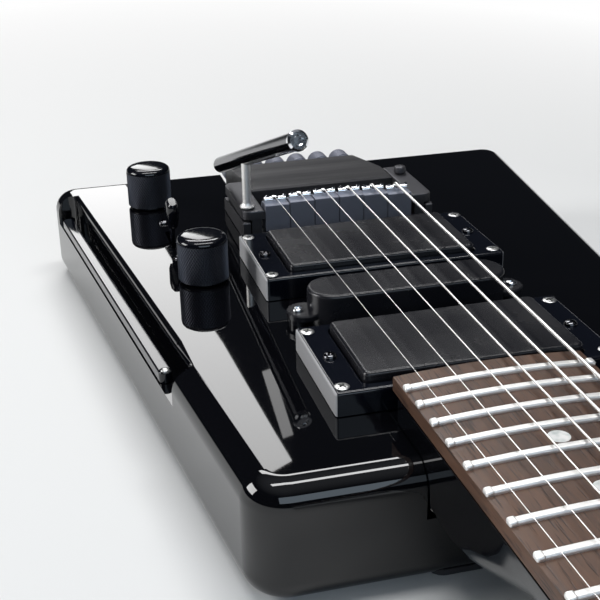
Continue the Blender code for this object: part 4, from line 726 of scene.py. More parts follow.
# %% Pickup rings
RING_CORNER = 0.0012
RING_BEVEL = 0.0010
RING_SCREW_X = 0.0416
RING_SCREW_Y = 0.0192
RING_OPENING = (0.0706, 0.0392)
for name in ("bridge_ring", "neck_ring"):
    low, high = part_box(name)
    middle = (low + high) / 2
    ring = round_over(block(low, high), RING_CORNER, 4, upright)
    ring = round_over(ring, RING_BEVEL, 4, at_height(high.z))
    half_x, half_y = RING_OPENING[0] / 2, RING_OPENING[1] / 2
    opening = block((-half_x, middle.y - half_y, low.z - 0.01), (half_x, middle.y + half_y, high.z + 0.01))
    ring = carved(ring, round_over(opening, 0.0022, 4, upright))
    ring = round_over(ring, 0.0003, 2, lambda edge: at_height(high.z)(edge) and sharper_than(70)(edge))
    corners = [(x, middle.y + y, high.z) for x in (-RING_SCREW_X, RING_SCREW_X)
               for y in (-RING_SCREW_Y, RING_SCREW_Y)]
    ring = carved(ring, *[countersink(RING_SCREW, corner) for corner in corners])
    stand_for(name, name + "_moulding", ring, "ring")
    print(name, "is", [round(size * 1000, 1) for size in high - low], "mm")

# %% [markdown]
# ## Pickup covers
# The covers are plain satin boxes with soft corners. Their bodies reach down into the wood, but only what
# stands over the face shows, so a cover starts at the frame's depth and ends at the picture's height.

# %% Pickup covers
COVER_HALF_X = 0.0347
COVER_HALF_Y = 0.0190
COVER_CORNER = 0.0020
COVER_BEVEL = 0.0012
COVER_TOPS = {"bridge_pickup": FACE + 0.0110, "neck_pickup": FACE + 0.0107}
for name, y in (("bridge_pickup", PICKUP_Y[0]), ("neck_pickup", PICKUP_Y[2])):
    low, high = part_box(name)
    top = COVER_TOPS[name]
    cover = block((-COVER_HALF_X, y - COVER_HALF_Y, low.z), (COVER_HALF_X, y + COVER_HALF_Y, top))
    cover = round_over(cover, COVER_CORNER, 5, upright)
    cover = round_over(cover, COVER_BEVEL, 4, at_height(top))
    stand_for(name, name + "_cover", cover, "satin")
    print(name, "stands", round((top - FACE) * 1000, 1), "mm over the face")

# %% [markdown]
# ## Middle pickup
# The middle pickup is a pill. Two round ears carry its screws, and each ear stands on a short sleeve, so
# that one can look under it. All five shapes are blocks and discs that reach into each other.

# %% Middle pickup
PILL_HALF_X = 0.0350
PILL_HALF_Y = 0.0091
PILL_TOP = FACE + 0.0120
EAR_LOW = FACE + 0.0026
EAR_TOP = FACE + 0.0046
EAR_X = 0.0362
EAR_RADIUS = 0.0062
EAR_EASE = 0.0004
EAR_SCREW_X = 0.0385
y = PICKUP_Y[1]
low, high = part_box("middle_pickup")
pill = block((-PILL_HALF_X, y - PILL_HALF_Y, low.z), (PILL_HALF_X, y + PILL_HALF_Y, PILL_TOP))
pill = round_over(pill, PILL_HALF_Y - 0.0001, 14, upright)
pill = round_over(pill, COVER_BEVEL, 4, at_height(PILL_TOP))
thickness = EAR_TOP - EAR_LOW
disc = [(0, 0), (EAR_RADIUS, 0), (EAR_RADIUS, thickness - EAR_EASE), (EAR_RADIUS - EAR_EASE, thickness),
        (0, thickness)]
ears = []
for side in BOTH_SIDES:
    ears.append(placed(turned(disc, 40), (side * EAR_X, y, EAR_LOW)))
    ears.append(hole(side * EAR_SCREW_X, y, 0.0030, FACE, EAR_LOW + 0.0005))
print("the middle pickup has", len(ears) // 2, "ears")
stand_for("middle_pickup", "middle_pickup_cover", merged([pill, *ears]), "satin")

# %% [markdown]
# ## Bridge
# The bridge is made of coated castings: two side brackets, a tilting frame and a long sloping block. The
# saddles have a cell of their own. A casting can't have a knife edge, so each edge is eased by a few tenths
# of a millimetre. The frame's own shapes are kept.

# %% Bridge castings
CAST_EDGE = 0.0003
BLOCK_EDGE = 0.0004
for node in ("bracket_treble", "bracket_bass", "tremolo_frame", "lock_screw"):
    dress(node, "black_metal", CAST_EDGE, 2, 40, 45)
dress("tuner_block", "brushed", BLOCK_EDGE, 3, 40, 45)
for number in range(1, 7):
    dress("string_jaw_" + str(number), "steel", 0.0001, 1, 40, 45)
dress("spring_bracket", "steel", 0.0002)
print("bridge castings dressed")

# %% [markdown]
# ## Where the strings run
# Six strings fan out a little from the nut to the bridge and lie on a gentle arch. Two short sums give each
# string's place across and how far the arch has fallen there, for the saddles, the strings and the board.

# %% The rows and the arch
STRING_RADII = (0.000127, 0.000165, 0.000216, 0.00033, 0.00046, 0.00058)
STRING_SPREAD_BRIDGE = 0.051
STRING_SPREAD_NUT = 0.0351
STRING_RISE_BRIDGE = 0.0168
CROWN_RADIUS = 0.356


def spread(index, width):
    """Sideways place of a string in a row of six of the given width."""
    return width * (index / 5 - 0.5)


def crown(x):
    """How far a crowned surface has fallen at x."""
    return x * x / (2 * CROWN_RADIUS)


print("strings fall", round(crown(STRING_SPREAD_BRIDGE / 2) * 1000, 2), "mm at the sides")

# %% [markdown]
# ## Saddles
# Six saddles stand side by side like a row of teeth. Each is a small dark block with a bright crest across
# it, a round button under the string, and two height screws. The block is an extruded section. The crest
# has a rounded top, since a string must bend over it without a kink, and it is the brightest thing in the
# picture.

# %% Saddles
CREST_Y = 0.002
CREST_HEIGHT = 0.0020
CREST_RADIUS = 0.0012
CREST_HALF_WIDTH = 0.0045
TOOTH_FRONT_RISE = 0.0068
BUTTON = [(0, -0.0022), (0.0015, -0.0022), (0.0015, -0.0003), (0.0011, 0.0002), (0.0005, 0.0004),
          (0, 0.0004)]
HEIGHT_STUB = [(0, -0.0022), (0.0007, -0.0022), (0.0007, 0.0004), (0.0005, 0.0007), (0, 0.0007)]
angles = [math.radians(degrees) for degrees in range(0, 181, 20)]
for index, radius in enumerate(STRING_RADII):
    name = "saddle_" + str(index + 1)
    low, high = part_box(name)
    x = spread(index, STRING_SPREAD_BRIDGE)
    bend = FACE + STRING_RISE_BRIDGE - crown(x) - radius
    shelf = bend - CREST_HEIGHT
    section = [(low.y, low.z), (low.y, shelf), (CREST_Y + 0.0018, shelf), (high.y, FACE + TOOTH_FRONT_RISE),
               (high.y, low.z)]
    tooth = round_over(extruded(section, low.x, high.x), 0.0004, 3, sharper_than(35))
    stand_for(name, name + "_block", tooth, "saddle", 40)

    arch = [(CREST_Y + CREST_RADIUS * math.cos(a), bend - CREST_RADIUS * (1 - math.sin(a))) for a in angles]
    section = [(CREST_Y + CREST_RADIUS, shelf - 0.0003), *arch, (CREST_Y - CREST_RADIUS, shelf - 0.0003)]
    crest = extruded(section, x - CREST_HALF_WIDTH, x + CREST_HALF_WIDTH)
    pieces = [round_over(crest, 0.0002, 2, sharper_than(60))]
    for profile, sides, offset in ((BUTTON, 24, 0), (HEIGHT_STUB, 16, -0.0030), (HEIGHT_STUB, 16, 0.0040)):
        pieces.append(placed(turned(profile, sides), (x + offset, CREST_Y, bend)))
    finish_piece(name + "_crest", merged(pieces), "chrome", "tremolo")
print("six saddles")

# %% [markdown]
# ## Strings
# A string is a tube along a path, thinner on the treble side. A curve with a round bevel makes it in one
# step: it runs from its ball in the headpiece over the nut and along the neck, bends over its saddle and
# ends in its jaw. The wire itself is tied to no body. The ball in the jaw is a piece of its own, because it
# slides with the jaw.

# %% Strings
SCALE = 0.6477
NUT_LENGTH = 0.004
NUT_EDGE = NUT_LENGTH / 2 - SCALE
TUNER_SPACING = 0.0104
BOARD_TOP = FACE + 0.0140
FRET_HEIGHT = 0.0012
BALL_RADIUS = 0.0018
BALL_LENGTH = 0.0032


def tube_along(route, radius):
    """A bmesh tube of twelve sides along points, made by bevelling a curve."""
    data = bpy.data.curves.new("route", "CURVE")
    data.dimensions = "3D"
    data.bevel_depth = 1.0
    data.bevel_resolution = 2
    data.use_fill_caps = True
    spline = data.splines.new("POLY")
    spline.points.add(len(route) - 1)
    for point, position in zip(spline.points, route):
        point.co = (*position, 1.0)
        point.radius = radius
    curve = in_scene("route", data)
    bpy.context.view_layer.update()
    mesh = bpy.data.meshes.new_from_object(curve.evaluated_get(bpy.context.evaluated_depsgraph_get()))
    bm = bmesh.new()
    bm.from_mesh(mesh)
    bpy.data.objects.remove(curve)
    bpy.data.curves.remove(data)
    bpy.data.meshes.remove(mesh)
    return bm


def ball_end(at, direction):
    """The ring that holds a string's end: a short drum with eased rims."""
    half, waist = BALL_LENGTH / 2, BALL_RADIUS * 0.7
    profile = [(0, -half), (waist, -half), (BALL_RADIUS, -half * 0.6), (BALL_RADIUS, half * 0.6),
               (waist, half), (0, half)]
    return placed(turned(profile, 20), at, direction)


print("the strings sound over", round(SCALE * 1000, 1), "mm")

# %% [markdown]
# ## String by string
# The route is a short list of points: the first ball, the nut, evenly spaced points over the neck with a
# few more close to the saddle, the crest, and the way down to the jaw.

# %% String by string
headpiece_low, headpiece_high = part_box("headpiece")
for index, radius in enumerate(STRING_RADII):
    name = "string_" + str(index + 1)
    nut_x, bridge_x = spread(index, STRING_SPREAD_NUT), spread(index, STRING_SPREAD_BRIDGE)
    jaw_x = (index - 2.5) * TUNER_SPACING
    nut_z = BOARD_TOP - crown(nut_x) + FRET_HEIGHT + 0.0005 + radius
    bridge_z = FACE + STRING_RISE_BRIDGE - crown(bridge_x)
    jaw_low, jaw_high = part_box("string_jaw_" + str(index + 1))
    jaw_z = (jaw_low.z + jaw_high.z) / 2
    head_ball = (nut_x, headpiece_low.y + 0.0075, BOARD_TOP - 0.0006)
    jaw_ball = (jaw_x, jaw_low.y + 0.0035, jaw_z)
    start = Vector((nut_x, NUT_EDGE, nut_z))
    far = Vector((bridge_x, CREST_Y - 0.0012, bridge_z - 0.0001))
    shares = [step / 12 for step in range(12)]
    shares += [(y - NUT_EDGE) / (far.y - NUT_EDGE) for y in (-0.016, -0.013, -0.010, -0.007, -0.004)]
    route = [head_ball, (nut_x, headpiece_high.y - 0.001, nut_z - 0.0003),
             (nut_x, -SCALE - NUT_LENGTH / 2, nut_z), *[start.lerp(far, share) for share in shares], far,
             (bridge_x, CREST_Y, bridge_z + 0.0001), (bridge_x, CREST_Y + 0.0014, bridge_z - 0.0004),
             (bridge_x + (jaw_x - bridge_x) * 0.9, 0.0205, jaw_z + 0.0010), (jaw_x, 0.0235, jaw_z),
             jaw_ball]
    wire = merged([tube_along(route, radius), ball_end(head_ball, (0, 1, 0))])
    finish = "plain_string" if index < 3 else "wound_string"
    piece = finish_piece(name + "_wire", wire, finish, None, (name,))
    piece.modifiers.clear()
    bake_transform(piece)
    ball = ball_end(jaw_ball, (1, 0, 0))
    finish_piece(name + "_jaw_ball", ball, finish, "jaw_" + str(index + 1))
    print(name, "is", round(radius * 2000, 2), "mm thick")

# %% [markdown]
# ## Fretboard
# The board is a strip of wood with a crowned top, narrow at the nut and wide at the body. It starts as a
# flat tapered block, and the crown comes from lowering its top by the square of the distance from the
# middle. The frets are separate wires with rounded ends, as a fret file leaves them.

# %% Fretboard
board_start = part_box("fretboard")[0].y
HEEL_FRET_Y = -SCALE / 4
NUT_HALF = 0.02065
HEEL_HALF = 0.0288
BOARD_THICKNESS = 0.0057
BOARD_END = -0.1530


def board_half(y):
    """Half of the fretboard's width at y."""
    return NUT_HALF + (HEEL_HALF - NUT_HALF) * (y + SCALE) / (HEEL_FRET_Y + SCALE)


def spans(edge, width):
    """True for an edge that runs further across than a width."""
    return abs(edge.verts[0].co.x - edge.verts[1].co.x) > width


board = block((-1, board_start, BOARD_TOP - BOARD_THICKNESS), (1, BOARD_END, BOARD_TOP))
across = [edge for edge in board.edges if spans(edge, 1)]
bmesh.ops.subdivide_edges(board, edges=across, cuts=23, use_grid_fill=True)
for vert in board.verts:
    vert.co.x *= board_half(vert.co.y)
    if vert.co.z > BOARD_TOP - 0.0001:
        vert.co.z = BOARD_TOP - crown(vert.co.x)
board = round_over(board, 0.0004, 2, lambda edge: edge.calc_face_angle(0) > 1.0)
stand_for("fretboard", "fretboard_wood", board, "rosewood")
print("fretboard is", round((BOARD_END - board_start) * 1000), "mm long")

# %% [markdown]
# ## Frets
# A fret is a low, wide wire pressed into a slot. Its top is dressed almost flat, and its end is filed to a
# small bead at the very edge of the board. The wire is a block with well rounded upper edges, cut into
# steps so that it can bend over the crown. The bead is a smaller block, rounded on all sides.

# %% Frets
FRET_WIDTH = 0.0025
BEAD = Vector((0.0022, 0.0029, 0.0017))


def fret(y):
    """A fret wire with its two beads, which follows the crown at y."""
    half = board_half(y) - 0.0004
    wire = block((-half, y - FRET_WIDTH / 2, -0.0004), (half, y + FRET_WIDTH / 2, FRET_HEIGHT))
    wire = round_over(wire, 0.0008, 4, lambda edge: at_height(FRET_HEIGHT)(edge) and spans(edge, half))
    across = [edge for edge in wire.edges if spans(edge, half)]
    bmesh.ops.subdivide_edges(wire, edges=across, cuts=8, use_grid_fill=True)
    beads = []
    for side in BOTH_SIDES:
        centre = Vector((side * (half + 0.0003 - BEAD.x / 2), y, FRET_HEIGHT + 0.0001 - BEAD.z / 2))
        beads.append(round_over(block(centre - BEAD / 2, centre + BEAD / 2), 0.0006, 3, lambda edge: True))
    whole = merged([wire, *beads])
    for vert in whole.verts:
        vert.co.z += BOARD_TOP - crown(vert.co.x)
    return whole


fret_places = [-SCALE * 2 ** (-number / 12) for number in range(1, 25)]
frets = merged([fret(y) for y in fret_places])
finish_piece("fret_wires", frets, "fret", "guitar", sharp=45)
print("frets from", round(fret_places[0], 3), "to", round(fret_places[-1], 3))

# %% [markdown]
# ## Position dots
# Round pearl dots mark the usual frets, and the octave has two. Each is a thin disc let into the wood, so
# only a hair of its edge stands over the crown.

# %% Position dots
DOT_RADIUS = 0.003
dots = []
for number in (3, 5, 7, 9, 12, 15, 17, 19, 21):
    y = (fret_places[number - 1] + fret_places[number - 2]) / 2
    for x in ((-0.0115, 0.0115) if number == 12 else (0.0,)):
        disc = peg(DOT_RADIUS, -0.0008, 0.00002, 28)
        dots.append(placed(disc, (x, y, BOARD_TOP - crown(x)), (x / CROWN_RADIUS, 0, 1)))
print(len(dots), "dots")
finish_piece("position_dots", merged(dots), "pearl", "guitar")

# %% [markdown]
# ## Knurling
# Knurling is a net of grooves pressed into the metal by two crossed wheels. A band of plain quads is spun
# up, each quad is poked to get its middle, and the old edges are dissolved, which leaves diamonds standing
# on their points. Insetting each diamond and lifting it leaves the grooves between them.

# %% A band of diamonds
RIM_STEP = 0.0006


def knurled(radius, low, high, columns, rows, depth, groove):
    """A band of raised diamonds round Z, with grooves between them."""
    bm = turned([(radius, low + (high - low) * row / rows) for row in range(rows + 1)], columns)
    first = bm.faces[:][0]
    first.normal_update()
    if first.normal.dot(first.calc_center_median().xy.to_3d()) < 0:
        bmesh.ops.reverse_faces(bm, faces=bm.faces)
    old = [edge for edge in bm.edges if not edge.is_boundary]
    bmesh.ops.poke(bm, faces=bm.faces)
    bmesh.ops.dissolve_edges(bm, edges=old)
    bmesh.ops.inset_individual(bm, faces=bm.faces, thickness=groove, depth=depth)
    rim = {vert for edge in bm.edges if edge.is_boundary for vert in edge.verts}
    for vert in rim:
        vert.co.xy = vert.co.xy * (1 - RIM_STEP / radius)
    bmesh.ops.holes_fill(bm, edges=[edge for edge in bm.edges if edge.is_boundary], sides=0)
    return bm


def knob(name, core, band, core_finish, band_finish, at, direction=(0, 0, 1)):
    """A knob of two pieces, its turned core and its knurled band, both made along Z."""
    body, slot = BODY_OF_NODE[name], SLOT_OF_NODE[name]
    stand_for(name, name + "_core", placed(core, at, direction), core_finish)
    finish_piece(name + "_knurl", placed(band, at, direction), band_finish, body, sharp=10)


print("a coarse band has", len(knurled(0.01, 0, 0.01, 12, 4, 0.0001, 0.0001).faces), "faces")

# %% [markdown]
# ## Volume and tone knob
# Each is a polished core with a domed top, and the knurled band goes round its flank. The dome is a list of
# points, each so far in from the flank and so far down from the top.

# %% Volume and tone knob
KNOB_RADIUS = 0.00925
KNOB_CORE = KNOB_RADIUS - 0.0006
DOME = ((0.0003, 0.0027), (0.0001, 0.0022), (0.0002, 0.0017), (0.0006, 0.0011), (0.0014, 0.0006),
        (0.0026, 0.0003), (0.0045, 0.0001), (0.0070, 0.0))
for name in ("volume_knob", "tone_knob"):
    low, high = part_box(name)
    centre = (low + high) / 2
    height = high.z - low.z
    cap = [(0, 0), (KNOB_CORE - 0.0004, 0), (KNOB_CORE, 0.0004), (KNOB_CORE, height - 0.0030)]
    cap += [(KNOB_RADIUS - inset, height - drop) for inset, drop in DOME] + [(0, height)]
    band = knurled(KNOB_RADIUS - 0.0005, 0.0006, height - 0.0026, 54, 9, 0.00048, 0.00026)
    knob(name, turned(cap, 96), band, "gloss", "knurl", (centre.x, centre.y, low.z))
    print(name, "is", round(height * 1000, 1), "mm high")

# %% [markdown]
# ## Tuner knobs
# Six small knobs stand in a row behind the block. They are turned and knurled in the same way, but lie
# along Y.

# %% Tuner knobs
TUNER_RADIUS = 0.00475
TUNER_LENGTH = 0.0115
TUNER_CORE = TUNER_RADIUS - 0.0004
SHAFT_RADIUS = 0.0015
for number in range(1, 7):
    name = "tuner_knob_" + str(number)
    low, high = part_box(name)
    centre = (low + high) / 2
    start = high.y - TUNER_LENGTH
    shaft = [(0, low.y - start), (SHAFT_RADIUS, low.y - start), (SHAFT_RADIUS, 0)]
    profile = shaft + [(TUNER_CORE - 0.0010, 0), (TUNER_CORE, 0.0008), (TUNER_CORE, TUNER_LENGTH - 0.0014),
                       (TUNER_CORE - 0.0001, TUNER_LENGTH - 0.0008),
                       (TUNER_CORE - 0.0010, TUNER_LENGTH - 0.0001), (0.0012, TUNER_LENGTH),
                       (0, TUNER_LENGTH)]
    band = knurled(TUNER_RADIUS - 0.0003, 0.0010, TUNER_LENGTH - 0.0015, 36, 8, 0.00025, 0.0001)
    knob(name, turned(profile, 40), band, "saddle", "saddle", (centre.x, start, centre.z), (0, 1, 0))
print("six tuner knobs,", round(TUNER_RADIUS * 2000, 1), "mm wide")

# %% [markdown]
# ## Tremolo arm
# The arm is a polished bar of black nickel with a bright cap at its tip. It leans over the bridge, and a
# thin steel post drops from it into the wing. All three are turned shapes laid along their own lines.

# %% Tremolo arm
ARM_REAR = Vector((-0.0397, 0.0375, FACE + 0.0197))
ARM_TIP = Vector((-0.0300, -0.0560, FACE + 0.0550))
ARM_POST = Vector((-0.0367, 0.002, FACE + 0.0120))
ARM_RADIUS = 0.0034
CAP_RADIUS = 0.0038
CAP_LENGTH = 0.0026
NECKED = ARM_RADIUS - 0.0004
reach = ARM_TIP - ARM_REAR
bar_end = reach.length - CAP_LENGTH
angles = [math.radians(degrees) for degrees in range(0, 86, 12)]
bar = [(ARM_RADIUS * math.sin(a), -ARM_RADIUS * 0.95 * math.cos(a)) for a in angles]
bar += [(ARM_RADIUS, 0.0004), (ARM_RADIUS, bar_end - 0.0006), (NECKED, bar_end - 0.0002),
        (NECKED, bar_end + 0.0004), (0, bar_end + 0.0004)]
bar = placed(turned(bar, 64), ARM_REAR, reach)
stand_for("tremolo_arm", "tremolo_arm_bar", bar, "black_nickel", 25)
cap = [(0, 0), (CAP_RADIUS - 0.0004, 0), (CAP_RADIUS, 0.0004), (CAP_RADIUS, CAP_LENGTH - 0.0007),
       (CAP_RADIUS - 0.0008, CAP_LENGTH), (0.0018, CAP_LENGTH), (0.0015, CAP_LENGTH - 0.0005),
       (0, CAP_LENGTH - 0.0005)]
cap = placed(turned(cap, 48), ARM_REAR + reach.normalized() * bar_end, reach)
finish_piece("tremolo_arm_cap", cap, "chrome", "arm", sharp=20)
share = (ARM_POST.y - ARM_REAR.y) / reach.y
top = (ARM_REAR + reach * share).z - ARM_POST.z
post = [(0, -0.0031), (0.0016, -0.0031), (0.0016, 0.0003), (0.0026, 0.0003), (0.0030, 0.0006),
        (0.0030, 0.0010), (0.0024, 0.0016), (0.0018, 0.0026), (0.0018, top), (0, top)]
post = placed(turned(post, 32), ARM_POST)
finish_piece("tremolo_arm_post", post, "fret", "arm", sharp=35)
print("arm is", round(reach.length * 1000), "mm long")

# %% [markdown]
# ## Spring
# The compression spring behind the block is a helix of round wire. Its points come from a loop over the
# angle, and the same curve bevel that made the strings gives it its thickness.

# %% Spring and wheel
low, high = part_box("tremolo_spring")
SPRING_WIRE = 0.0008
SPRING_COIL = 0.0044
TURNS = 8
STEPS = 32
coil_z = (low.z + high.z) / 2
first = low.y + SPRING_WIRE
pitch = (high.y - low.y - 2 * SPRING_WIRE) / TURNS
route = []
for step in range(TURNS * STEPS + 1):
    angle = math.tau * step / STEPS
    x, z = SPRING_COIL * math.cos(angle), SPRING_COIL * math.sin(angle)
    route.append((x, first + pitch * step / STEPS, coil_z + z))
stand_for("tremolo_spring", "tremolo_spring_coil", tube_along(route, SPRING_WIRE), "steel")
dress("spring_wheel", "black_metal", 0.0002)
print("spring of", TURNS, "turns at", round(pitch * 1000, 2), "mm")

# %% [markdown]
# ## Switch, leg rest, jack and strap buttons
# These are small turned or moulded parts whose engineering shape is already right. They only need eased
# edges and their finish. The leg rest is a slim polished bar that lies in the step of the treble side.

# %% Small fittings
for node, finish in (("switch_frame", "steel"), ("switch_lever", "gloss"), ("leg_rest", "gloss"),
                     ("leg_rest_screw", "steel"), ("output_jack", "steel"), ("jack_plate", "black_metal"),
                     ("strap_button_tail", "black_metal"), ("strap_button_shoulder", "black_metal"),
                     ("volume_pot", "steel"), ("tone_pot", "steel")):
    dress(node, finish, 0.00015, 2, 45, 40)
print("small fittings dressed")

# %% [markdown]
# ## Screws
# A cross-head screw is a dome with two crossed slots. Each place that the frame leaves open gets one, with
# its own turn. The rings' corner screws are bare steel, those of the middle pickup are chrome, the
# headpiece's are coated, and the others are black nickel.

# %% Screws


def cross_screw(radius, height, shank, sunk):
    """A cross-head screw along Z. The origin is under a round head, or at the rim of a sunk one."""
    seat = -SINK_DEPTH if sunk else 0.0
    profile = [(0, -shank), (radius * 0.42, -shank), (radius * 0.42, seat), (radius, 0)]
    profile += [(radius * math.cos(math.radians(a)), height * (0.25 + 0.75 * math.sin(math.radians(a))))
                for a in (5, 20, 40, 60, 75)]
    head = turned(profile + [(0, height)], 28)
    low = -height * 1.5 if sunk else height * 0.3
    slots = [block((-x, -y, low), (x, y, height * 2))
             for x, y in ((radius * 0.16, radius * 0.58), (radius * 0.58, radius * 0.16))]
    return carved(head, *slots)


def screw_set(name, places, radius, height, shank, finish, direction=(0, 0, 1),
              sunk=False):
    """The same screw at several places, each with its own turn."""
    shapes = []
    for count, place in enumerate(places):
        shape = cross_screw(radius, height, shank, sunk)
        bmesh.ops.rotate(shape, verts=shape.verts, matrix=Matrix.Rotation(0.7 + 1.9 * count, 3, "Z"))
        shapes.append(placed(shape, place, direction))
    finish_piece(name, merged(shapes), finish, "guitar")
    print(name, len(places))


HEIGHT_SCREW_X = 0.0396
for name in ("bridge", "neck"):
    low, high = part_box(name + "_ring")
    y = (low.y + high.y) / 2
    corners = [(sx * RING_SCREW_X, y + sy * RING_SCREW_Y, high.z - 0.0001)
               for sx in BOTH_SIDES for sy in BOTH_SIDES]
    screw_set(name + "_ring_screws", corners, RING_SCREW, 0.0005, 0.006, "steel", sunk=True)
    sides = [(sx * HEIGHT_SCREW_X, y, high.z + 0.0001) for sx in BOTH_SIDES]
    screw_set(name + "_height_screws", sides, 0.0021, 0.0013, 0.012, "black_nickel")
places = [(side * EAR_SCREW_X, PICKUP_Y[1], EAR_TOP + 0.0001) for side in BOTH_SIDES]
screw_set("middle_pickup_screws", places, 0.0019, 0.0011, 0.008, "chrome")
places = [(side * 0.0341, y, FACE + 0.0023) for side in BOTH_SIDES for y in (0.019, 0.031)]
screw_set("bracket_screws", places, 0.0017, 0.0010, 0.008, "black_nickel")
places = [(SWITCH_AT[0], SWITCH_AT[1] + side * 0.02065, FACE + 0.0001) for side in BOTH_SIDES]
screw_set("switch_screws", places, 0.0022, 0.0011, 0.006, "black_nickel")
low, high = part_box("headpiece")
places = [(side * STRING_SPREAD_NUT / 5, high.y - 0.0058, high.z + 0.0001) for side in BOTH_SIDES]
screw_set("headpiece_screws", places, 0.0020, 0.0010, 0.012, "black_metal")

# %% [markdown]
# ## Plates and their screws
# The neck plate and the cover of the controls lie in recesses of the back. Their screws are sunk, so that
# the guitar lies flat: each plate is a block with rounded corners, its holes are carved out with the cone
# that the rings had, and the same screws fill them. The jack's plate lies on the tail and keeps round
# heads.

# %% Plates of the back and the tail
UNDER = (0, 0, -1)
BEHIND = (0, 1, 0)


def back_plate(node, finish, corner, screws, radius, shank, places):
    """A plate let into the back, and its sunk screws at places given across and along."""
    low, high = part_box(node)
    plate = round_over(block(low, high), corner, 8, upright)
    plate = round_over(plate, 0.0003, 2, at_height(low.z))
    plate = carved(plate, *[countersink(radius, (x, y, low.z), UNDER) for x, y in places])
    stand_for(node, node + "_sheet", plate, finish)
    places = [(x, y, low.z + 0.0001) for x, y in places]
    screw_set(screws, places, radius, 0.0001, shank, "black_nickel", UNDER, sunk=True)


low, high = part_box("control_cover")
cover_screws = [(x, y) for x in (low.x + 0.0025, high.x - 0.0025)
                for y in (low.y + 0.0070, (low.y + high.y) / 2, high.y - 0.0070)]
back_plate("control_cover", "satin", 0.0077, "cover_screws", 0.0018, 0.005, cover_screws)
back_plate("neck_plate", "black_metal", 0.0040, "neck_bolts", 0.0040, 0.030, BOLT_PLACES)

low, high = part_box("jack_plate")
middle = (low + high) / 2
places = [(middle.x + side * 0.0112, high.y - 0.0001, middle.z) for side in BOTH_SIDES]
screw_set("jack_plate_screws", places, 0.0016, 0.0007, 0.008, "black_nickel", BEHIND)
print("cover, neck plate and jack plate with", len(cover_screws) + len(BOLT_PLACES) + len(places), "screws")

# %% [markdown]
# ## Floor
# The guitar lies on pale paint that takes its shadow. Further out the floor turns white, but only for the
# camera, so that floor and backdrop meet without a line and no more light falls on the guitar. How far out
# a point is comes from its length as a vector, once the long way of the guitar is squeezed.

# %% Floor
WHITE = (1.0, 1.0, 1.0)
FADE = (0.30, 0.62)
bm = bmesh.new()
bmesh.ops.create_grid(bm, x_segments=1, y_segments=1, size=4.0, matrix=Matrix.Translation((0, 0, -0.0002)))
floor = in_scene("floor", mesh_of(bm, "floor"))
shader, place = new_finish("floor", "pale_floor", (0.80, 0.80, 0.79), 0.75)
feed(shader, Roughness=0.70 + 0.10 * place.noise(3.0))
squeezed = {"Vector": place, "Scale": (1.0, 0.55, 1.0), "Location": (0.0, 0.16, 0.0)}
squeezed = place.node("ShaderNodeMapping", {}, squeezed)
away = squeezed.node("ShaderNodeVectorMath", {"operation": "LENGTH"}, {0: squeezed}, "Value")
seen = place.node("ShaderNodeLightPath", {}, {}, "Is Camera Ray")
glow = place.node("ShaderNodeEmission", {}, {"Color": (*WHITE, 1.0), "Strength": 1.0})
paint = Signal(place.tree, shader.outputs[0])
sheet = place.node("ShaderNodeMixShader", {}, {0: seen * away.ramp(*FADE), 1: paint, 2: glow})
feed(place.tree.nodes["Material Output"], Surface=sheet)
floor.data.materials.append(FINISH["floor"])
floor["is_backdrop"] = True
print("the floor is white from", FADE[1], "m")

# %% [markdown]
# ## Room
# Black lacquer shows nothing but what it reflects, so the room is planned as a reflection. Its ceiling
# glows softly and lights the floor, the frets and the crests. Its walls are dark, so that the face, which
# mirrors the wall behind the tail, stays black. Only the camera sees the backdrop's white.

# %% Room
world = bpy.data.worlds.new("room")
bpy.context.scene.world = world
world.use_nodes = True
directions = world.node_tree.nodes.new("ShaderNodeTexCoord")
direction = Signal(world.node_tree, directions.outputs["Generated"])
room = direction.axis("Z").ramp(0.66, 0.92).colours((0.016, 0.018, 0.022), (0.24, 0.25, 0.27))
seen = direction.node("ShaderNodeLightPath", {}, {}, "Is Camera Ray")
feed(world.node_tree.nodes["Background"], Color=seen.colours(room, WHITE))
bpy.context.scene.view_settings.view_transform = "Standard"
print("room ready")

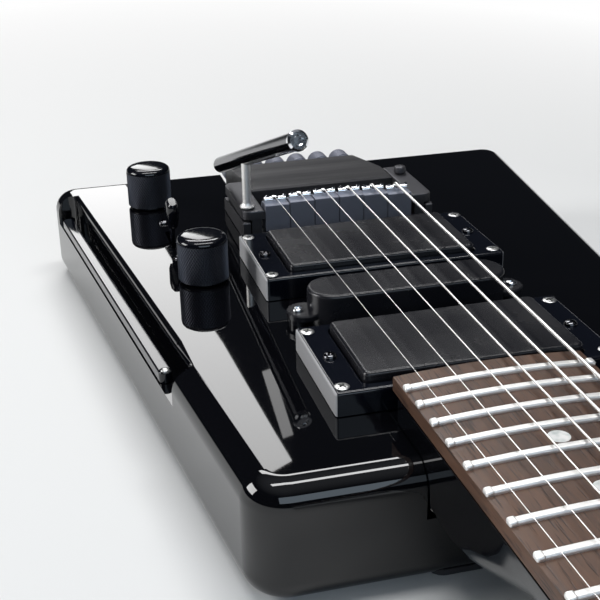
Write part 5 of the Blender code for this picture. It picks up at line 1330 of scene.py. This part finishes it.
# %% [markdown]
# ## Lamps
# An area lamp shows in a reflection as a bright sheet with its own outline. The tall panel behind the tail
# is the white field on the treble side of the face. Its place comes from mirroring the camera in the face.
# The strip beside it is the faint field. A panel far to the left lights the ends of the pickup rings, a bar
# overhead draws the thin lines on rims and knobs, and a high one at the back, which the face can't show,
# does so on the strings. A wide, faint and bluish panel behind the camera fills what looks at us: the
# knurling, the saddles and the rings' fronts.

# %% Lamps


def panel(name, centre, target, width, height, radiance, roll=0.0, colour=(1, 1, 1)):
    """A rectangular lamp that faces a target. Its power is the radiance times pi and its area."""
    data = bpy.data.lights.new(name, "AREA")
    data.color = colour
    data.shape = "RECTANGLE"
    data.size = width
    data.size_y = height
    data.energy = radiance * math.pi * width * height
    lamp = in_scene(name, data)
    facing = (Vector(target) - Vector(centre)).to_track_quat("-Z", "Y")
    lamp.rotation_mode = "QUATERNION"
    lamp.location = centre
    lamp.rotation_quaternion = facing @ Matrix.Rotation(math.radians(roll), 3, "Z").to_quaternion()


panel("tall_panel", (0.0500, 1.20, 0.667), (0.0500, 0, 0.667), 0.20, 0.610, 4.8, 25.0)
panel("faint_strip", (0.246, 1.19, 0.785), (0.246, 0, 0.785), 0.018, 0.13, 1.8, 14.0)
panel("left_panel", (-1.00, 0.15, 0.45), (-0.045, -0.06, 0.045), 0.50, 0.40, 10.0)
panel("high_panel", (0.10, 0.95, 1.08), (0.0, -0.1, 0.04), 0.80, 0.24, 9.0)
panel("overhead_bar", (0.00, -0.10, 1.20), (0.0, -0.1, 0.04), 1.0, 0.18, 13.0)
panel("front_panel", (-0.05, -1.20, 0.60), (-0.02, -0.05, 0.04), 1.1, 0.50, 2.2, colour=(0.72, 0.86, 1.0))
print("six lamps")

# %% [markdown]
# ## Sizes
# The boxes of the frame and of the finished model are printed, so that one can see how much larger its
# dress makes the guitar.

# %% Sizes and the end
low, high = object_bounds()
for title, size in (("frame", cad_high - cad_low), ("model", high - low)):
    print(title, [round(v * 1000, 1) for v in size])
